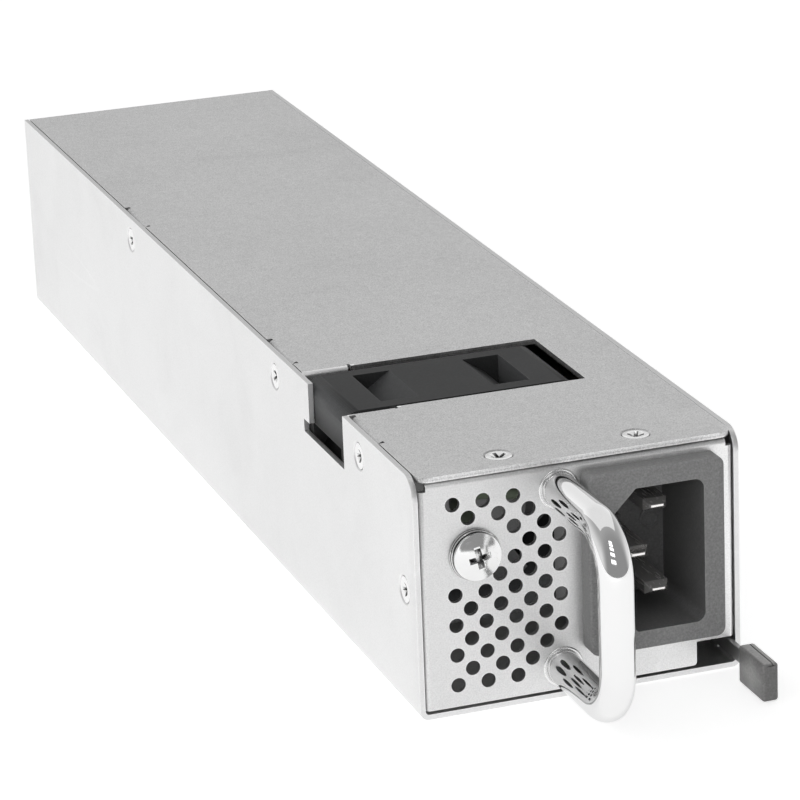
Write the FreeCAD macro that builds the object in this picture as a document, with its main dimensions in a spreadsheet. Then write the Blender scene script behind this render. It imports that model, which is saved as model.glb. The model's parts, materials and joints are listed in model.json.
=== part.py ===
"""Slim hot swap server power supply: case, mains inlet, fan, latch and electronics.

Frame: X to the right seen from the handle end, Y from the handle end to the contacts,
Z up, with the origin at the middle of the case's underside. Lengths are in millimetres.
"""
import FreeCAD, Part
import Sketcher
import math
import os
import re

from FreeCAD import Placement, Rotation, Vector

# ---------------------------------------------------------------- driving sizes
SIZES = {
    # case
    "case_width": 54.5,
    "case_height": 40.0,
    "case_length": 244.0,
    "sheet": 0.9,
    "bend": 1.5,
    "wall_corner": 3.6,
    "sheet_gap": 0.2,
    "cover_fit": 0.05,
    "cover_inset": 0.1,
    "cover_corner": 2.2,
    # flush screws, and the holes they pass
    "screw_radius": 1.5,
    "sink_land": 0.05,
    "sink_play": 0.08,
    "screw_hole": 1.65,
    "screw_length": 4.0,
    "thread_gap": 0.05,
    "cross_width": 0.55,
    "cross_span": 2.7,
    "cross_depth": 0.6,
    # cover tabs, from the front of the case
    "tab_first": 25.7,
    "tab_second": 70.1,
    "tab_third": 161.3,
    "tab_length": 13.0,
    "tab_depth": 8.4,
    "tab_relief": 0.9,
    "relief_depth": 1.0,
    "tab_bend": 0.95,
    "side_screw_drop": 4.3,
    "lip_length": 8.0,
    "lip_depth": 4.0,
    "lip_bend": 0.85,
    "lip_relief": 0.5,
    "lip_relief_depth": 0.95,
    # front plate
    "front_recess": 0.05,
    "front_gap": 0.15,
    "plate_rise": 0.5,
    "plate_bend": 0.8,
    "plate_notch": 1.2,
    "flange_length": 9.0,
    "flange_inset": 2.0,
    "top_flange_inset": 3.0,
    "flange_rise": 1.6,
    "front_screw_setback": 5.4,
    "front_screw_left": 16.3,
    "front_screw_pitch": 23.0,
    "plate_screw_rise": 0.2,
    "vent_left": 6.5,
    "vent_drop": 5.0,
    "vent_margin": 2.1,
    "vent_pitch": 2.5,
    "vent_radius": 1.2,
    # rear wall
    "exhaust_pitch": 4.2,
    "exhaust_radius": 2.3,
    "exhaust_margin": 6.0,
    # ground screw
    "ground_x": 9.9,
    "ground_drop": 13.6,
    "ground_thread": 2.0,
    "ground_head": 3.9,
    "ground_head_rise": 1.75,
    "ground_head_round": 1.2,
    "ground_cross_width": 1.1,
    "ground_cross_span": 4.6,
    "ground_cross_depth": 1.2,
    "ground_nut": 4.0,
    "ground_nut_thickness": 3.0,
    "washer_radius": 4.6,
    "washer_thickness": 0.7,
    "ground_clear": 5.3,
    # handle
    "handle_gap": 3.5,
    "handle_pitch": 29.8,
    "handle_reach": 22.85,
    "handle_radius": 2.8,
    "handle_bend": 7.6,
    "handle_thread": 1.5,
    "handle_clear": 4.4,
    "collar_radius": 3.4,
    "collar_thickness": 0.3,
    "handle_nut": 3.2,
    "handle_nut_thickness": 2.4,
    # mains inlet
    "inlet_inset": 15.4,
    "inlet_rise": 2.3,
    "rim_width": 23.0,
    "rim_height": 30.2,
    "rim_thickness": 3.45,
    "rim_corner": 1.5,
    "rim_edge": 0.5,
    "socket_shift": 0.3,
    "socket_width": 16.5,
    "socket_height": 24.0,
    "socket_bevel": 5.0,
    "socket_depth": 17.0,
    "socket_corner": 1.6,
    "inlet_wall": 1.6,
    "inlet_base": 2.6,
    "pin_width": 4.0,
    "pin_thickness": 2.0,
    "pin_pitch": 14.0,
    "pin_offset": 2.0,
    "pin_tip_width": 2.4,
    "pin_tip_thickness": 0.8,
    "pin_taper": 1.2,
    "line_pin_recess": 4.0,
    "earth_pin_recess": 2.4,
    "pin_tail": 8.0,
    "pin_gap": 0.05,
    # fan
    "fan_depth": 20.0,
    "fan_setback": 35.0,
    "fan_gap": 0.1,
    "fan_flange": 2.7,
    "fan_post": 7.1,
    "fan_corner": 2.4,
    "fan_wall": 1.1,
    "barrel_flat": 12.8,
    "barrel_drop": 2.7,
    "barrel_shoulder": 0.52,
    "fan_hole_inset": 4.0,
    "fan_hole": 1.7,
    "window_front": 0.7,
    "window_back": 2.5,
    "window_side": 1.4,
    "window_drop": 9.1,
    "window_wall_front": 1.6,
    "window_wall_back": 3.7,
    "window_relief_length": 3.0,
    "window_relief_height": 2.2,
    "hub_radius": 11.0,
    "hub_wall": 1.3,
    "hub_front": 1.0,
    "hub_length": 14.6,
    "blade_tip_gap": 0.6,
    "blade_count": 7,
    "blade_thickness": 0.8,
    "blade_chord": 12.8,
    "blade_camber": 0.9,
    "blade_root_angle": 52.0,
    "blade_tip_angle": 30.0,
    "motor_base": 2.8,
    "tube_wall": 0.9,
    "tube_setback": 4.0,
    "tube_floor": 1.2,
    "strut_width": 1.6,
    "bearing_radius": 3.0,
    "bearing_width": 2.3,
    "shaft_radius": 1.0,
    "shaft_short": 1.6,
    "running_gap": 0.03,
    "press_gap": 0.02,
    "magnet_wall": 1.5,
    "air_gap": 0.4,
    "fan_board": 0.8,
    "coil_length": 7.5,
    "coil_slot": 1.0,
    "coil_slot_radius": 6.5,
    "magnet_short": 1.0,
    "circuit_inset": 2.0,
    "bearing_setback": 0.6,
    "bracket_foot": 3.0,
    "bracket_side": 1.2,
    "bracket_drop": 2.0,
    "bracket_inset": 0.3,
    "fan_screw_length": 8.0,
    "fan_screw_rise": 1.4,
    "fan_screw_head": 2.0,
    # latch
    "latch_inset": 0.6,
    "latch_sheet": 0.8,
    "latch_low": 2.1,
    "latch_high": 7.5,
    "latch_neck_low": 2.5,
    "latch_neck_high": 5.0,
    "latch_neck_end": 4.0,
    "latch_pivot_setback": 46.0,
    "latch_eye": 1.9,
    "latch_pin": 1.0,
    "latch_pin_gap": 0.04,
    "tooth_front": 13.0,
    "tooth_back": 20.5,
    "tooth_rise": 1.8,
    "tooth_gap": 0.4,
    "thumb_front": 14.6,
    "thumb_length": 8.5,
    "thumb_width": 2.7,
    "thumb_low": 0.25,
    "thumb_high": 6.45,
    "thumb_cover": 0.85,
    "latch_door_width": 7.6,
    "latch_door_height": 5.4,
    "door_corner": 0.6,
    "latch_bracket_top": 10.4,
    "latch_bracket_width": 6.0,
    "latch_bracket_reach": 1.6,
    "thumb_round": 0.9,
    "spring_wire": 0.5,
    "spring_turns": 4.0,
    # main board
    "board_setback": 60.0,
    "board_side_gap": 1.1,
    "board_thickness": 1.6,
    "board_height": 5.5,
    "board_end_gap": 1.6,
    "fixing_side": 4.0,
    "fixing_end": 5.0,
    "tongue_width": 42.0,
    "tongue_reach": 11.5,
    "tongue_gap": 0.5,
    "standoff_radius": 2.6,
    "board_screw": 1.3,
    "board_screw_head": 2.4,
    "board_screw_rise": 1.4,
    "board_screw_bite": 2.5,
    "insulator_thickness": 0.3,
    "insulator_gap": 0.3,
    "solder_gap": 0.02,
    # parts on the board, in order from the inlet end
    "fuse_radius": 2.6,
    "fuse_length": 20.0,
    "fuse_inset": 12.0,
    "fuse_cap": 5.0,
    "clip_height": 3.0,
    "clip_width": 3.0,
    "clip_wall": 0.5,
    "clip_mouth": 3.2,
    "film_cap_depth": 9.0,
    "film_cap_width": 22.0,
    "film_cap_height": 16.0,
    "disc_radius": 3.6,
    "disc_thickness": 3.4,
    "disc_rise": 1.6,
    "disc_offset": 18.0,
    "leg_radius": 0.3,
    "line_choke_radius": 8.6,
    "line_choke_tube": 3.2,
    "winding_build": 1.4,
    "boost_choke_radius": 8.4,
    "boost_choke_tube": 3.0,
    "boost_choke_x": 9.0,
    "bulk_radius": 12.5,
    "bulk_length": 36.0,
    "transformer_width": 33.0,
    "transformer_depth": 26.0,
    "transformer_height": 24.0,
    "transformer_leg": 5.0,
    "transformer_overhang": 4.0,
    "transformer_lift": 2.0,
    "transformer_post": 5.0,
    "transformer_play": 0.1,
    "sink_thickness": 3.0,
    "sink_height": 26.0,
    "sink_groove": 2.0,
    "sink_groove_pitch": 4.0,
    "primary_sink_inset": 10.0,
    "sink_lead": 8.0,
    "primary_sink_length": 58.0,
    "output_sink_width": 38.0,
    "output_sink_depth": 10.0,
    "rectifier_pitch": 9.4,
    "rectifier_width": 8.8,
    "rectifier_height": 10.0,
    "rectifier_thickness": 3.0,
    "rectifier_lift": 4.0,
    "rectifier_tab": 5.0,
    "package_width": 10.0,
    "package_height": 15.0,
    "package_thickness": 4.4,
    "package_lift": 5.0,
    "package_spacing": 14.0,
    "leg_pitch": 2.5,
    "leg_width": 0.8,
    "leg_thickness": 0.6,
    "bridge_thickness": 4.0,
    "bridge_width": 16.0,
    "bridge_height": 15.0,
    "bridge_lift": 4.0,
    "bridge_leg_pitch": 4.0,
    "bulk_inset": 0.6,
    "output_cap_radius": 4.0,
    "output_cap_height": 13.0,
    "output_cap_pitch": 9.0,
    "output_cap_x": 13.5,
    "output_choke_radius": 5.6,
    "output_choke_tube": 2.2,
    "output_choke_x": 9.2,
    "card_thickness": 1.2,
    "card_length": 60.0,
    "card_height": 22.0,
    "card_inset": 2.0,
    "card_setback": 4.0,
    "chip_thickness": 1.6,
    "chip_size": 8.0,
    "chip_pitch": 18.0,
    "chip_lift": 8.0,
    "contact_width": 2.0,
    "contact_pitch": 3.2,
    "contact_length": 9.0,
    "contact_inset": 0.6,
    "contact_thickness": 0.1,
    # leads
    "lead_radius": 1.1,
    "lug_radius": 4.0,
    "lug_thickness": 0.8,
    "lug_tail": 7.0,
    "lug_bend_gap": 0.15,
    "lug_tail_width": 2.4,
    "barrel_radius": 1.6,
    "barrel_length": 4.5,
    "lead_lane": 3.4,
    "lead_setback": 5.0,
    "live_landing": 15.5,
    "neutral_landing": 11.0,
    "lead_rise": 12.0,
    "lead_leave": 4.2,
}

doc = FreeCAD.newDocument("server_power_supply")
sheet = doc.addObject("Spreadsheet::Sheet", "Sizes")
for line, (alias, value) in enumerate(SIZES.items(), start=1):
    sheet.set(f"A{line}", alias.replace("_", " "))
    sheet.set(f"B{line}", str(value))
    sheet.setAlias(f"B{line}", alias)
doc.recompute()

# places that many pieces share, as formulas on the sizes
LEFT = "(-case_width/2)"
RIGHT = "(case_width/2)"
FRONT = "(-case_length/2)"
BACK = "(case_length/2)"
TOP = "case_height"
INNER_LEFT = "(-case_width/2 + sheet)"
INNER_RIGHT = "(case_width/2 - sheet)"
UNDER_COVER = "(case_height - sheet)"
PLATE_FRONT = f"({FRONT} + front_recess)"
PLATE_BACK = f"({FRONT} + front_recess + sheet)"
COVER_LEFT = f"({INNER_LEFT} + sheet_gap)"
COVER_RIGHT = f"({INNER_RIGHT} - cover_fit)"
PLATE_LEFT = f"({INNER_LEFT} + front_gap)"
PLATE_RIGHT = f"({INNER_RIGHT} - front_gap)"
PLATE_LOW = "(sheet + plate_rise)"
PLATE_HIGH = f"({UNDER_COVER} - sheet_gap)"
SIDE_SCREW_Z = f"({TOP} - side_screw_drop)"
TAB_PLACES = ("tab_first", "tab_second", "tab_third")
FAN_SIZE = "case_height"
FAN_BORE = f"({FAN_SIZE}/2 - fan_wall)"
FAN_HOLE = f"({FAN_SIZE}/2 - fan_hole_inset)"
FAN_LEFT = f"({INNER_LEFT} + fan_gap)"
FAN_RIGHT = f"({FAN_LEFT} + {FAN_SIZE})"
FAN_X = f"({FAN_LEFT} + {FAN_SIZE}/2)"
FAN_Z = f"({TOP}/2)"
FAN_FRONT = f"({FRONT} + fan_setback)"
FAN_BACK = f"({FRONT} + fan_setback + fan_depth)"
WINDOW_FRONT = f"({FAN_FRONT} - window_front)"
WINDOW_BACK = f"({FAN_BACK} + window_back)"
WINDOW_RIGHT = f"({FAN_RIGHT} + window_side)"
INLET_X = f"({RIGHT} - inlet_inset)"
INLET_Z = f"({TOP}/2 + inlet_rise)"
HANDLE_X = f"({INLET_X} - rim_width/2 - handle_gap)"
HANDLE_Z = f"({TOP}/2)"
GROUND_X = f"({LEFT} + ground_x)"
GROUND_Z = f"({TOP} - ground_drop)"
PLATE_SCREW_Z = f"({TOP}/2 + plate_screw_rise)"
VENT_TOP = f"({TOP} - vent_drop)"
SOCKET_X = f"({INLET_X} - socket_shift)"
LATCH_OUT = f"({INNER_RIGHT} - latch_inset)"
LATCH_IN = f"({INNER_RIGHT} - latch_inset - latch_sheet)"
PIVOT_X = f"({LATCH_OUT} - latch_eye)"
PIVOT_Y = f"({FRONT} + latch_pivot_setback)"
BOARD_HALF = "(case_width/2 - sheet - board_side_gap)"
BOARD_FRONT = f"({FRONT} + board_setback)"
BOARD_BACK = f"({BACK} - sheet - board_end_gap)"
BOARD_TOP = "(board_height + board_thickness)"
SEAT = f"({BOARD_TOP} + solder_gap)"

AXES = {
    "X": Rotation(Vector(0, 1, 0), 90),
    "Y": Rotation(Vector(1, 0, 0), -90),
    "Z": Rotation(),
}
WORD = re.compile(r"[a-z_][a-z_0-9]*")
nodes = []


def bound(text):
    """The formula with each size's name pointing at its cell."""
    return WORD.sub(lambda word: "Sizes." + word.group() if word.group() in SIZES else word.group(), str(text))


def size(alias):
    """The value of one cell."""
    return float(sheet.get(alias))


def bind(thing, **formulas):
    for name, formula in formulas.items():
        thing.setExpression(name, bound(formula))
    return thing


def place(thing, x, y, z, rotation=None):
    """Puts a piece at a point given as three formulas."""
    thing.Placement = Placement(Vector(), rotation or Rotation())
    thing.setExpression("Placement.Base.x", bound(x))
    thing.setExpression("Placement.Base.y", bound(y))
    thing.setExpression("Placement.Base.z", bound(z))
    return thing


def serial(kind):
    """A free name for a helper piece of this kind."""
    serial.count += 1
    return f"{kind}_{serial.count}"


serial.count = 0


def block(x0, y0, z0, x1, y1, z1):
    """A box between two corners."""
    box = doc.addObject("Part::Box", serial("block"))
    bind(box, Length=f"({x1})-({x0})", Width=f"({y1})-({y0})", Height=f"({z1})-({z0})")
    return place(box, x0, y0, z0)


def rod(radius, length, x, y, z, along="Z"):
    """A cylinder that starts at a point and runs along an axis."""
    cylinder = doc.addObject("Part::Cylinder", serial("rod"))
    bind(cylinder, Radius=radius, Height=length)
    return place(cylinder, x, y, z, AXES[along])


def cone(start, end, length, x, y, z, rotation):
    taper = doc.addObject("Part::Cone", serial("cone"))
    bind(taper, Radius1=start, Radius2=end, Height=length)
    return place(taper, x, y, z, rotation)


def nut(across, length, x, y, z, along="Z"):
    """A hexagonal prism."""
    prism = doc.addObject("Part::Prism", serial("hex"))
    prism.Polygon = 6
    bind(prism, Circumradius=across, Height=length)
    return place(prism, x, y, z, AXES[along])


def ring(radius, tube, x, y, z, rotation=None, sweep=360):
    torus = doc.addObject("Part::Torus", serial("ring"))
    bind(torus, Radius1=radius, Radius2=tube)
    torus.Angle3 = sweep
    return place(torus, x, y, z, rotation)


def joined(*pieces):
    union = doc.addObject("Part::MultiFuse", serial("joined"))
    union.Shapes = list(pieces)
    union.Refine = True
    return union


def cut(base, *tools):
    difference = doc.addObject("Part::Cut", serial("cut"))
    difference.Base = base
    difference.Tool = tools[0] if len(tools) == 1 else group(*tools)
    return difference


def group(*pieces):
    """Separate solids that stay separate."""
    compound = doc.addObject("Part::Compound", serial("group"))
    compound.Links = list(pieces)
    return compound


def node(name, piece):
    """Names a finished piece of the product."""
    piece.Label = name
    nodes.append(piece)
    return piece


def feature(name, shape):
    """A piece whose shape is worked out in code from the cells."""
    piece = doc.addObject("Part::Feature", name)
    piece.Shape = shape
    return node(name, piece)


# ---------------------------------------------------------------- sheet metal helpers
def new_body(name):
    body = doc.addObject("PartDesign::Body", name + "_body")
    return node(name, body)


def sketch_on(body, role, at):
    """A sketch parallel to an origin plane, at a height along that plane's axis."""
    sketch = body.newObject("Sketcher::SketchObject", serial("sketch"))
    origin_plane = next(item for item in body.Origin.OriginFeatures if item.Role == role)
    sketch.AttachmentSupport = [(origin_plane, "")]
    sketch.MapMode = "FlatFace"
    sign = "-" if role == "XZ_Plane" else ""
    sketch.setExpression("AttachmentOffset.Base.z", bound(f"{sign}({at})"))
    return sketch


def pin_point(sketch, geometry, vertex, u, v):
    """Fixes a sketch point at two formulas."""
    for kind, formula in (("DistanceX", u), ("DistanceY", v)):
        index = sketch.addConstraint(Sketcher.Constraint(kind, -1, 1, geometry, vertex, 1.0))
        sketch.setExpression(f"Constraints[{index}]", bound(formula))


def polygon(sketch, points):
    count = len(points)
    first = sketch.GeometryCount
    corners = [Vector(math.cos(2 * math.pi * k / count), math.sin(2 * math.pi * k / count)) for k in range(count)]
    for k in range(count):
        sketch.addGeometry(Part.LineSegment(corners[k], corners[(k + 1) % count]), False)
    joints = [Sketcher.Constraint("Coincident", first + k, 2, first + (k + 1) % count, 1) for k in range(count)]
    sketch.addConstraint(joints)
    for k, (u, v) in enumerate(points):
        pin_point(sketch, first + k, 1, u, v)


def circle(sketch, u, v, radius):
    index = sketch.addGeometry(Part.Circle(Vector(), Vector(0, 0, 1), 1), False)
    pin_point(sketch, index, 3, u, v)
    constraint = sketch.addConstraint(Sketcher.Constraint("Radius", index, 1.0))
    sketch.setExpression(f"Constraints[{constraint}]", bound(radius))


def rectangle(u0, v0, u1, v1):
    return [(u0, v0), (u1, v0), (u1, v1), (u0, v1)]


def draw(body, role, at, outlines):
    sketch = sketch_on(body, role, at)
    for outline in outlines:
        if isinstance(outline, tuple):
            circle(sketch, *outline)
        else:
            polygon(sketch, outline)
    return sketch


def add(body, role, at, depth, *outlines):
    """Adds material from a height towards the plane's positive axis."""
    pad = body.newObject("PartDesign::Pad", serial("pad"))
    pad.Profile = draw(body, role, at, outlines)
    pad.Reversed = role == "XZ_Plane"
    bind(pad, Length=depth)
    doc.recompute()
    return pad


def remove(body, role, at, depth, *outlines):
    """Cuts from a height towards the plane's positive axis, and makes sure that it cuts."""
    before = body.Shape.Volume
    pocket = body.newObject("PartDesign::Pocket", serial("pocket"))
    pocket.Profile = draw(body, role, at, outlines)
    pocket.Reversed = role != "XZ_Plane"
    bind(pocket, Length=depth)
    doc.recompute()
    if body.Shape.Volume >= before:
        raise ValueError(f"{body.Label}: a pocket cuts nothing")
    return pocket


def near(a, b):
    return abs(a - b) < 1e-4


def edges_where(shape, test):
    return [f"Edge{k}" for k, edge in enumerate(shape.Edges, start=1) if test(edge)]


def straight(edge, axis):
    """True for a straight edge along an axis."""
    if not isinstance(edge.Curve, (Part.Line, Part.LineSegment)):
        return False
    return near(abs(edge.tangentAt(edge.FirstParameter).dot(axis)), 1)


def through(edge, **coordinates):
    """True where the middle of the edge has these coordinates."""
    box = edge.BoundBox
    middle = {"x": box.Center.x, "y": box.Center.y, "z": box.Center.z}
    return all(near(middle[axis], value) for axis, value in coordinates.items())


def round_edges(body, radius, test):
    """Rounds the edges of a body that pass a test."""
    base = body.Tip
    names = edges_where(base.Shape, test)
    if not names:
        raise ValueError(f"{body.Label}: no edge to round")
    fillet = body.newObject("PartDesign::Fillet", serial("round"))
    fillet.Base = (base, names)
    bind(fillet, Radius=radius)
    doc.recompute()
    return fillet


def sink_holes(body, depth, radius, test):
    """Countersinks the hole edges that pass a test."""
    base = body.Tip
    names = edges_where(base.Shape, lambda e: isinstance(e.Curve, Part.Circle) and near(e.Curve.Radius, radius) and test(e.Curve.Center))
    chamfer = body.newObject("PartDesign::Chamfer", serial("sink"))
    chamfer.Base = (base, names)
    bind(chamfer, Size=depth)
    doc.recompute()
    return chamfer


def lattice(left, top, pitch, columns, rows):
    """Staggered hole centres: every second place of a square grid."""
    for row in range(rows):
        for column in range(row % 2, columns, 2):
            yield f"{left} + {column}*{pitch}", f"{top} - {row}*{pitch}", column, row


AX, AY, AZ = Vector(1, 0, 0), Vector(0, 1, 0), Vector(0, 0, 1)
SINK = "(sheet - sink_land)"
FLUSH_HEAD = f"(screw_hole + {SINK})"


# ---------------------------------------------------------------- case
def chassis():
    body = new_body("chassis_tray")
    u_section = [
        (LEFT, TOP), (LEFT, "0"), (RIGHT, "0"), (RIGHT, TOP),
        (INNER_RIGHT, TOP), (INNER_RIGHT, "sheet"), (INNER_LEFT, "sheet"), (INNER_LEFT, TOP),
    ]
    add(body, "XZ_Plane", FRONT, "case_length", u_section)
    half = size("case_width") / 2
    wall = size("sheet")
    front = -size("case_length") / 2
    round_edges(body, "bend", lambda e: straight(e, AY) and near(abs(e.BoundBox.Center.x), half) and through(e, z=0))
    inner = half - wall
    round_edges(body, "bend - sheet", lambda e: straight(e, AY) and near(abs(e.BoundBox.Center.x), inner) and through(e, z=wall))
    high = size("case_height")
    round_edges(body, "wall_corner", lambda e: straight(e, AX) and through(e, y=front, z=high))
    rear = [
        (f"{LEFT} + bend", "sheet/2"), (f"{RIGHT} - bend", "sheet/2"), (f"{INNER_RIGHT} + sheet/2", "bend"),
        (f"{INNER_RIGHT} + sheet/2", PLATE_HIGH), (f"{INNER_LEFT} - sheet/2", PLATE_HIGH), (f"{INNER_LEFT} - sheet/2", "bend"),
    ]
    add(body, "XZ_Plane", f"{BACK} - sheet", "sheet", rear)
    tongue = rectangle("-tongue_width/2 - tongue_gap", "board_height - tongue_gap",
                       "tongue_width/2 + tongue_gap", f"{BOARD_TOP} + tongue_gap")
    columns = int((size("case_width") - 8) / size("exhaust_pitch")) + 1
    rows = int((size("case_height") - 18) / size("exhaust_pitch")) + 1
    left = f"(-{(columns - 1) / 2}*exhaust_pitch)"
    exhaust = [(u, v, "exhaust_radius") for u, v, _, _ in lattice(left, f"({TOP} - exhaust_margin)", "exhaust_pitch", columns, rows)]
    remove(body, "XZ_Plane", f"{BACK} - sheet - 0.5", "sheet + 1", tongue, *exhaust)
    window = [
        (f"{FAN_FRONT} - window_wall_front", f"{TOP} - window_drop"),
        (f"{FAN_BACK} - window_wall_back + window_relief_length", f"{TOP} - window_drop"),
        (f"{FAN_BACK} - window_wall_back + window_relief_length", f"{TOP} - window_drop + window_relief_height"),
        (f"{FAN_BACK} - window_wall_back", f"{TOP} - window_drop + window_relief_height"),
        (f"{FAN_BACK} - window_wall_back", f"{TOP} + 1"),
        (f"{FAN_FRONT} - window_wall_front", f"{TOP} + 1"),
    ]
    remove(body, "YZ_Plane", f"{LEFT} - 0.5", "sheet + 1", window)
    slot = rectangle(f"{FRONT} + tooth_front - tooth_gap", "latch_low - tooth_gap/2",
                     f"{FRONT} + tooth_back + tooth_gap", "latch_high + tooth_gap")
    remove(body, "YZ_Plane", f"{INNER_RIGHT} - 0.05", "sheet + 1", slot)
    floor_window = rectangle(f"{INNER_LEFT} + 0.1", WINDOW_FRONT, WINDOW_RIGHT, WINDOW_BACK)
    remove(body, "XY_Plane", "-0.5", "sheet + 0.6", floor_window)
    side = [(f"{FRONT} + {tab}", SIDE_SCREW_Z, "screw_hole") for tab in TAB_PLACES]
    side.append((f"{FRONT} + front_screw_setback", PLATE_SCREW_Z, "screw_hole"))
    remove(body, "YZ_Plane", f"{LEFT} - 0.5", "case_width + 1", *side)
    floor_holes = [(x, y, "standoff_radius - 0.8") for x, y in board_fixings()]
    remove(body, "XY_Plane", "-0.5", "sheet + 1", *floor_holes)
    sink_holes(body, SINK, size("screw_hole"), lambda c: near(abs(c.x), half))


def cover():
    body = new_body("top_cover")
    plate_front = f"({FRONT} + cover_inset)"
    add(body, "XY_Plane", UNDER_COVER, "sheet", rectangle(COVER_LEFT, plate_front, COVER_RIGHT, f"{BACK} - cover_inset"))
    front = -size("case_length") / 2 + size("cover_inset")
    round_edges(body, "cover_corner", lambda e: straight(e, AZ) and through(e, y=front))
    tab_low = f"{TOP} - tab_depth"
    reliefs = []
    for place_name in TAB_PLACES:
        start = f"({FRONT} + {place_name} - tab_length/2)"
        end = f"({FRONT} + {place_name} + tab_length/2)"
        add(body, "YZ_Plane", COVER_LEFT, "sheet", rectangle(start, tab_low, end, TOP))
        add(body, "YZ_Plane", f"{COVER_RIGHT} - sheet", "sheet", rectangle(start, tab_low, end, TOP))
        for a, b in ((f"{start} - tab_relief", start), (end, f"{end} + tab_relief")):
            reliefs.append(rectangle(f"{COVER_LEFT} - 1", a, f"{COVER_LEFT} + relief_depth", b))
    remove(body, "XY_Plane", f"{UNDER_COVER} - 0.5", "sheet + 1", *reliefs)
    lip_end = f"{COVER_LEFT} + lip_length"
    notch_end = f"({lip_end} + lip_relief)"
    notch_front, notch_back = f"({WINDOW_FRONT} - lip_relief_depth)", f"({WINDOW_BACK} + lip_relief_depth)"
    opening = [
        (f"{COVER_LEFT} - 1", WINDOW_FRONT), (lip_end, WINDOW_FRONT), (lip_end, notch_front),
        (notch_end, notch_front), (notch_end, WINDOW_FRONT),
        (WINDOW_RIGHT, WINDOW_FRONT), (WINDOW_RIGHT, WINDOW_BACK), (notch_end, WINDOW_BACK),
        (notch_end, notch_back), (lip_end, notch_back), (lip_end, WINDOW_BACK), (f"{COVER_LEFT} - 1", WINDOW_BACK),
    ]
    remove(body, "XY_Plane", f"{UNDER_COVER} - 0.5", "sheet + 1", opening)
    lip = rectangle(f"{COVER_LEFT}", f"{TOP} - lip_depth", f"{COVER_LEFT} + lip_length", TOP)
    add(body, "XZ_Plane", f"{WINDOW_FRONT} - sheet", "sheet", lip)
    add(body, "XZ_Plane", WINDOW_BACK, "sheet", lip)
    holes = [(f"{LEFT} + front_screw_left + {k}*front_screw_pitch", f"{FRONT} + front_screw_setback", "screw_hole") for k in (0, 1)]
    remove(body, "XY_Plane", f"{UNDER_COVER} - 0.5", "sheet + 1", *holes)
    tapped = [(f"{FRONT} + {tab}", SIDE_SCREW_Z, "screw_radius + thread_gap") for tab in TAB_PLACES]
    remove(body, "YZ_Plane", f"{COVER_LEFT} - 0.5", "case_width", *tapped)
    high = size("case_height")
    edge = size("case_width") / 2 - size("sheet") - size("sheet_gap")
    longest = size("tab_length")
    round_edges(body, "tab_bend", lambda e: straight(e, AY) and near(e.BoundBox.Center.x, -edge) and through(e, z=high) and near(e.Length, longest))
    lips = [-size("case_length") / 2 + size("fan_setback") - size("window_front"),
            -size("case_length") / 2 + size("fan_setback") + size("fan_depth") + size("window_back")]
    lip_edge = size("lip_length")
    round_edges(body, "lip_bend", lambda e: straight(e, AX) and through(e, z=high) and near(e.Length, lip_edge)
                and any(near(e.BoundBox.Center.y, y) for y in lips))
    sink_holes(body, SINK, size("screw_hole"), lambda c: near(c.z, high))


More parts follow.
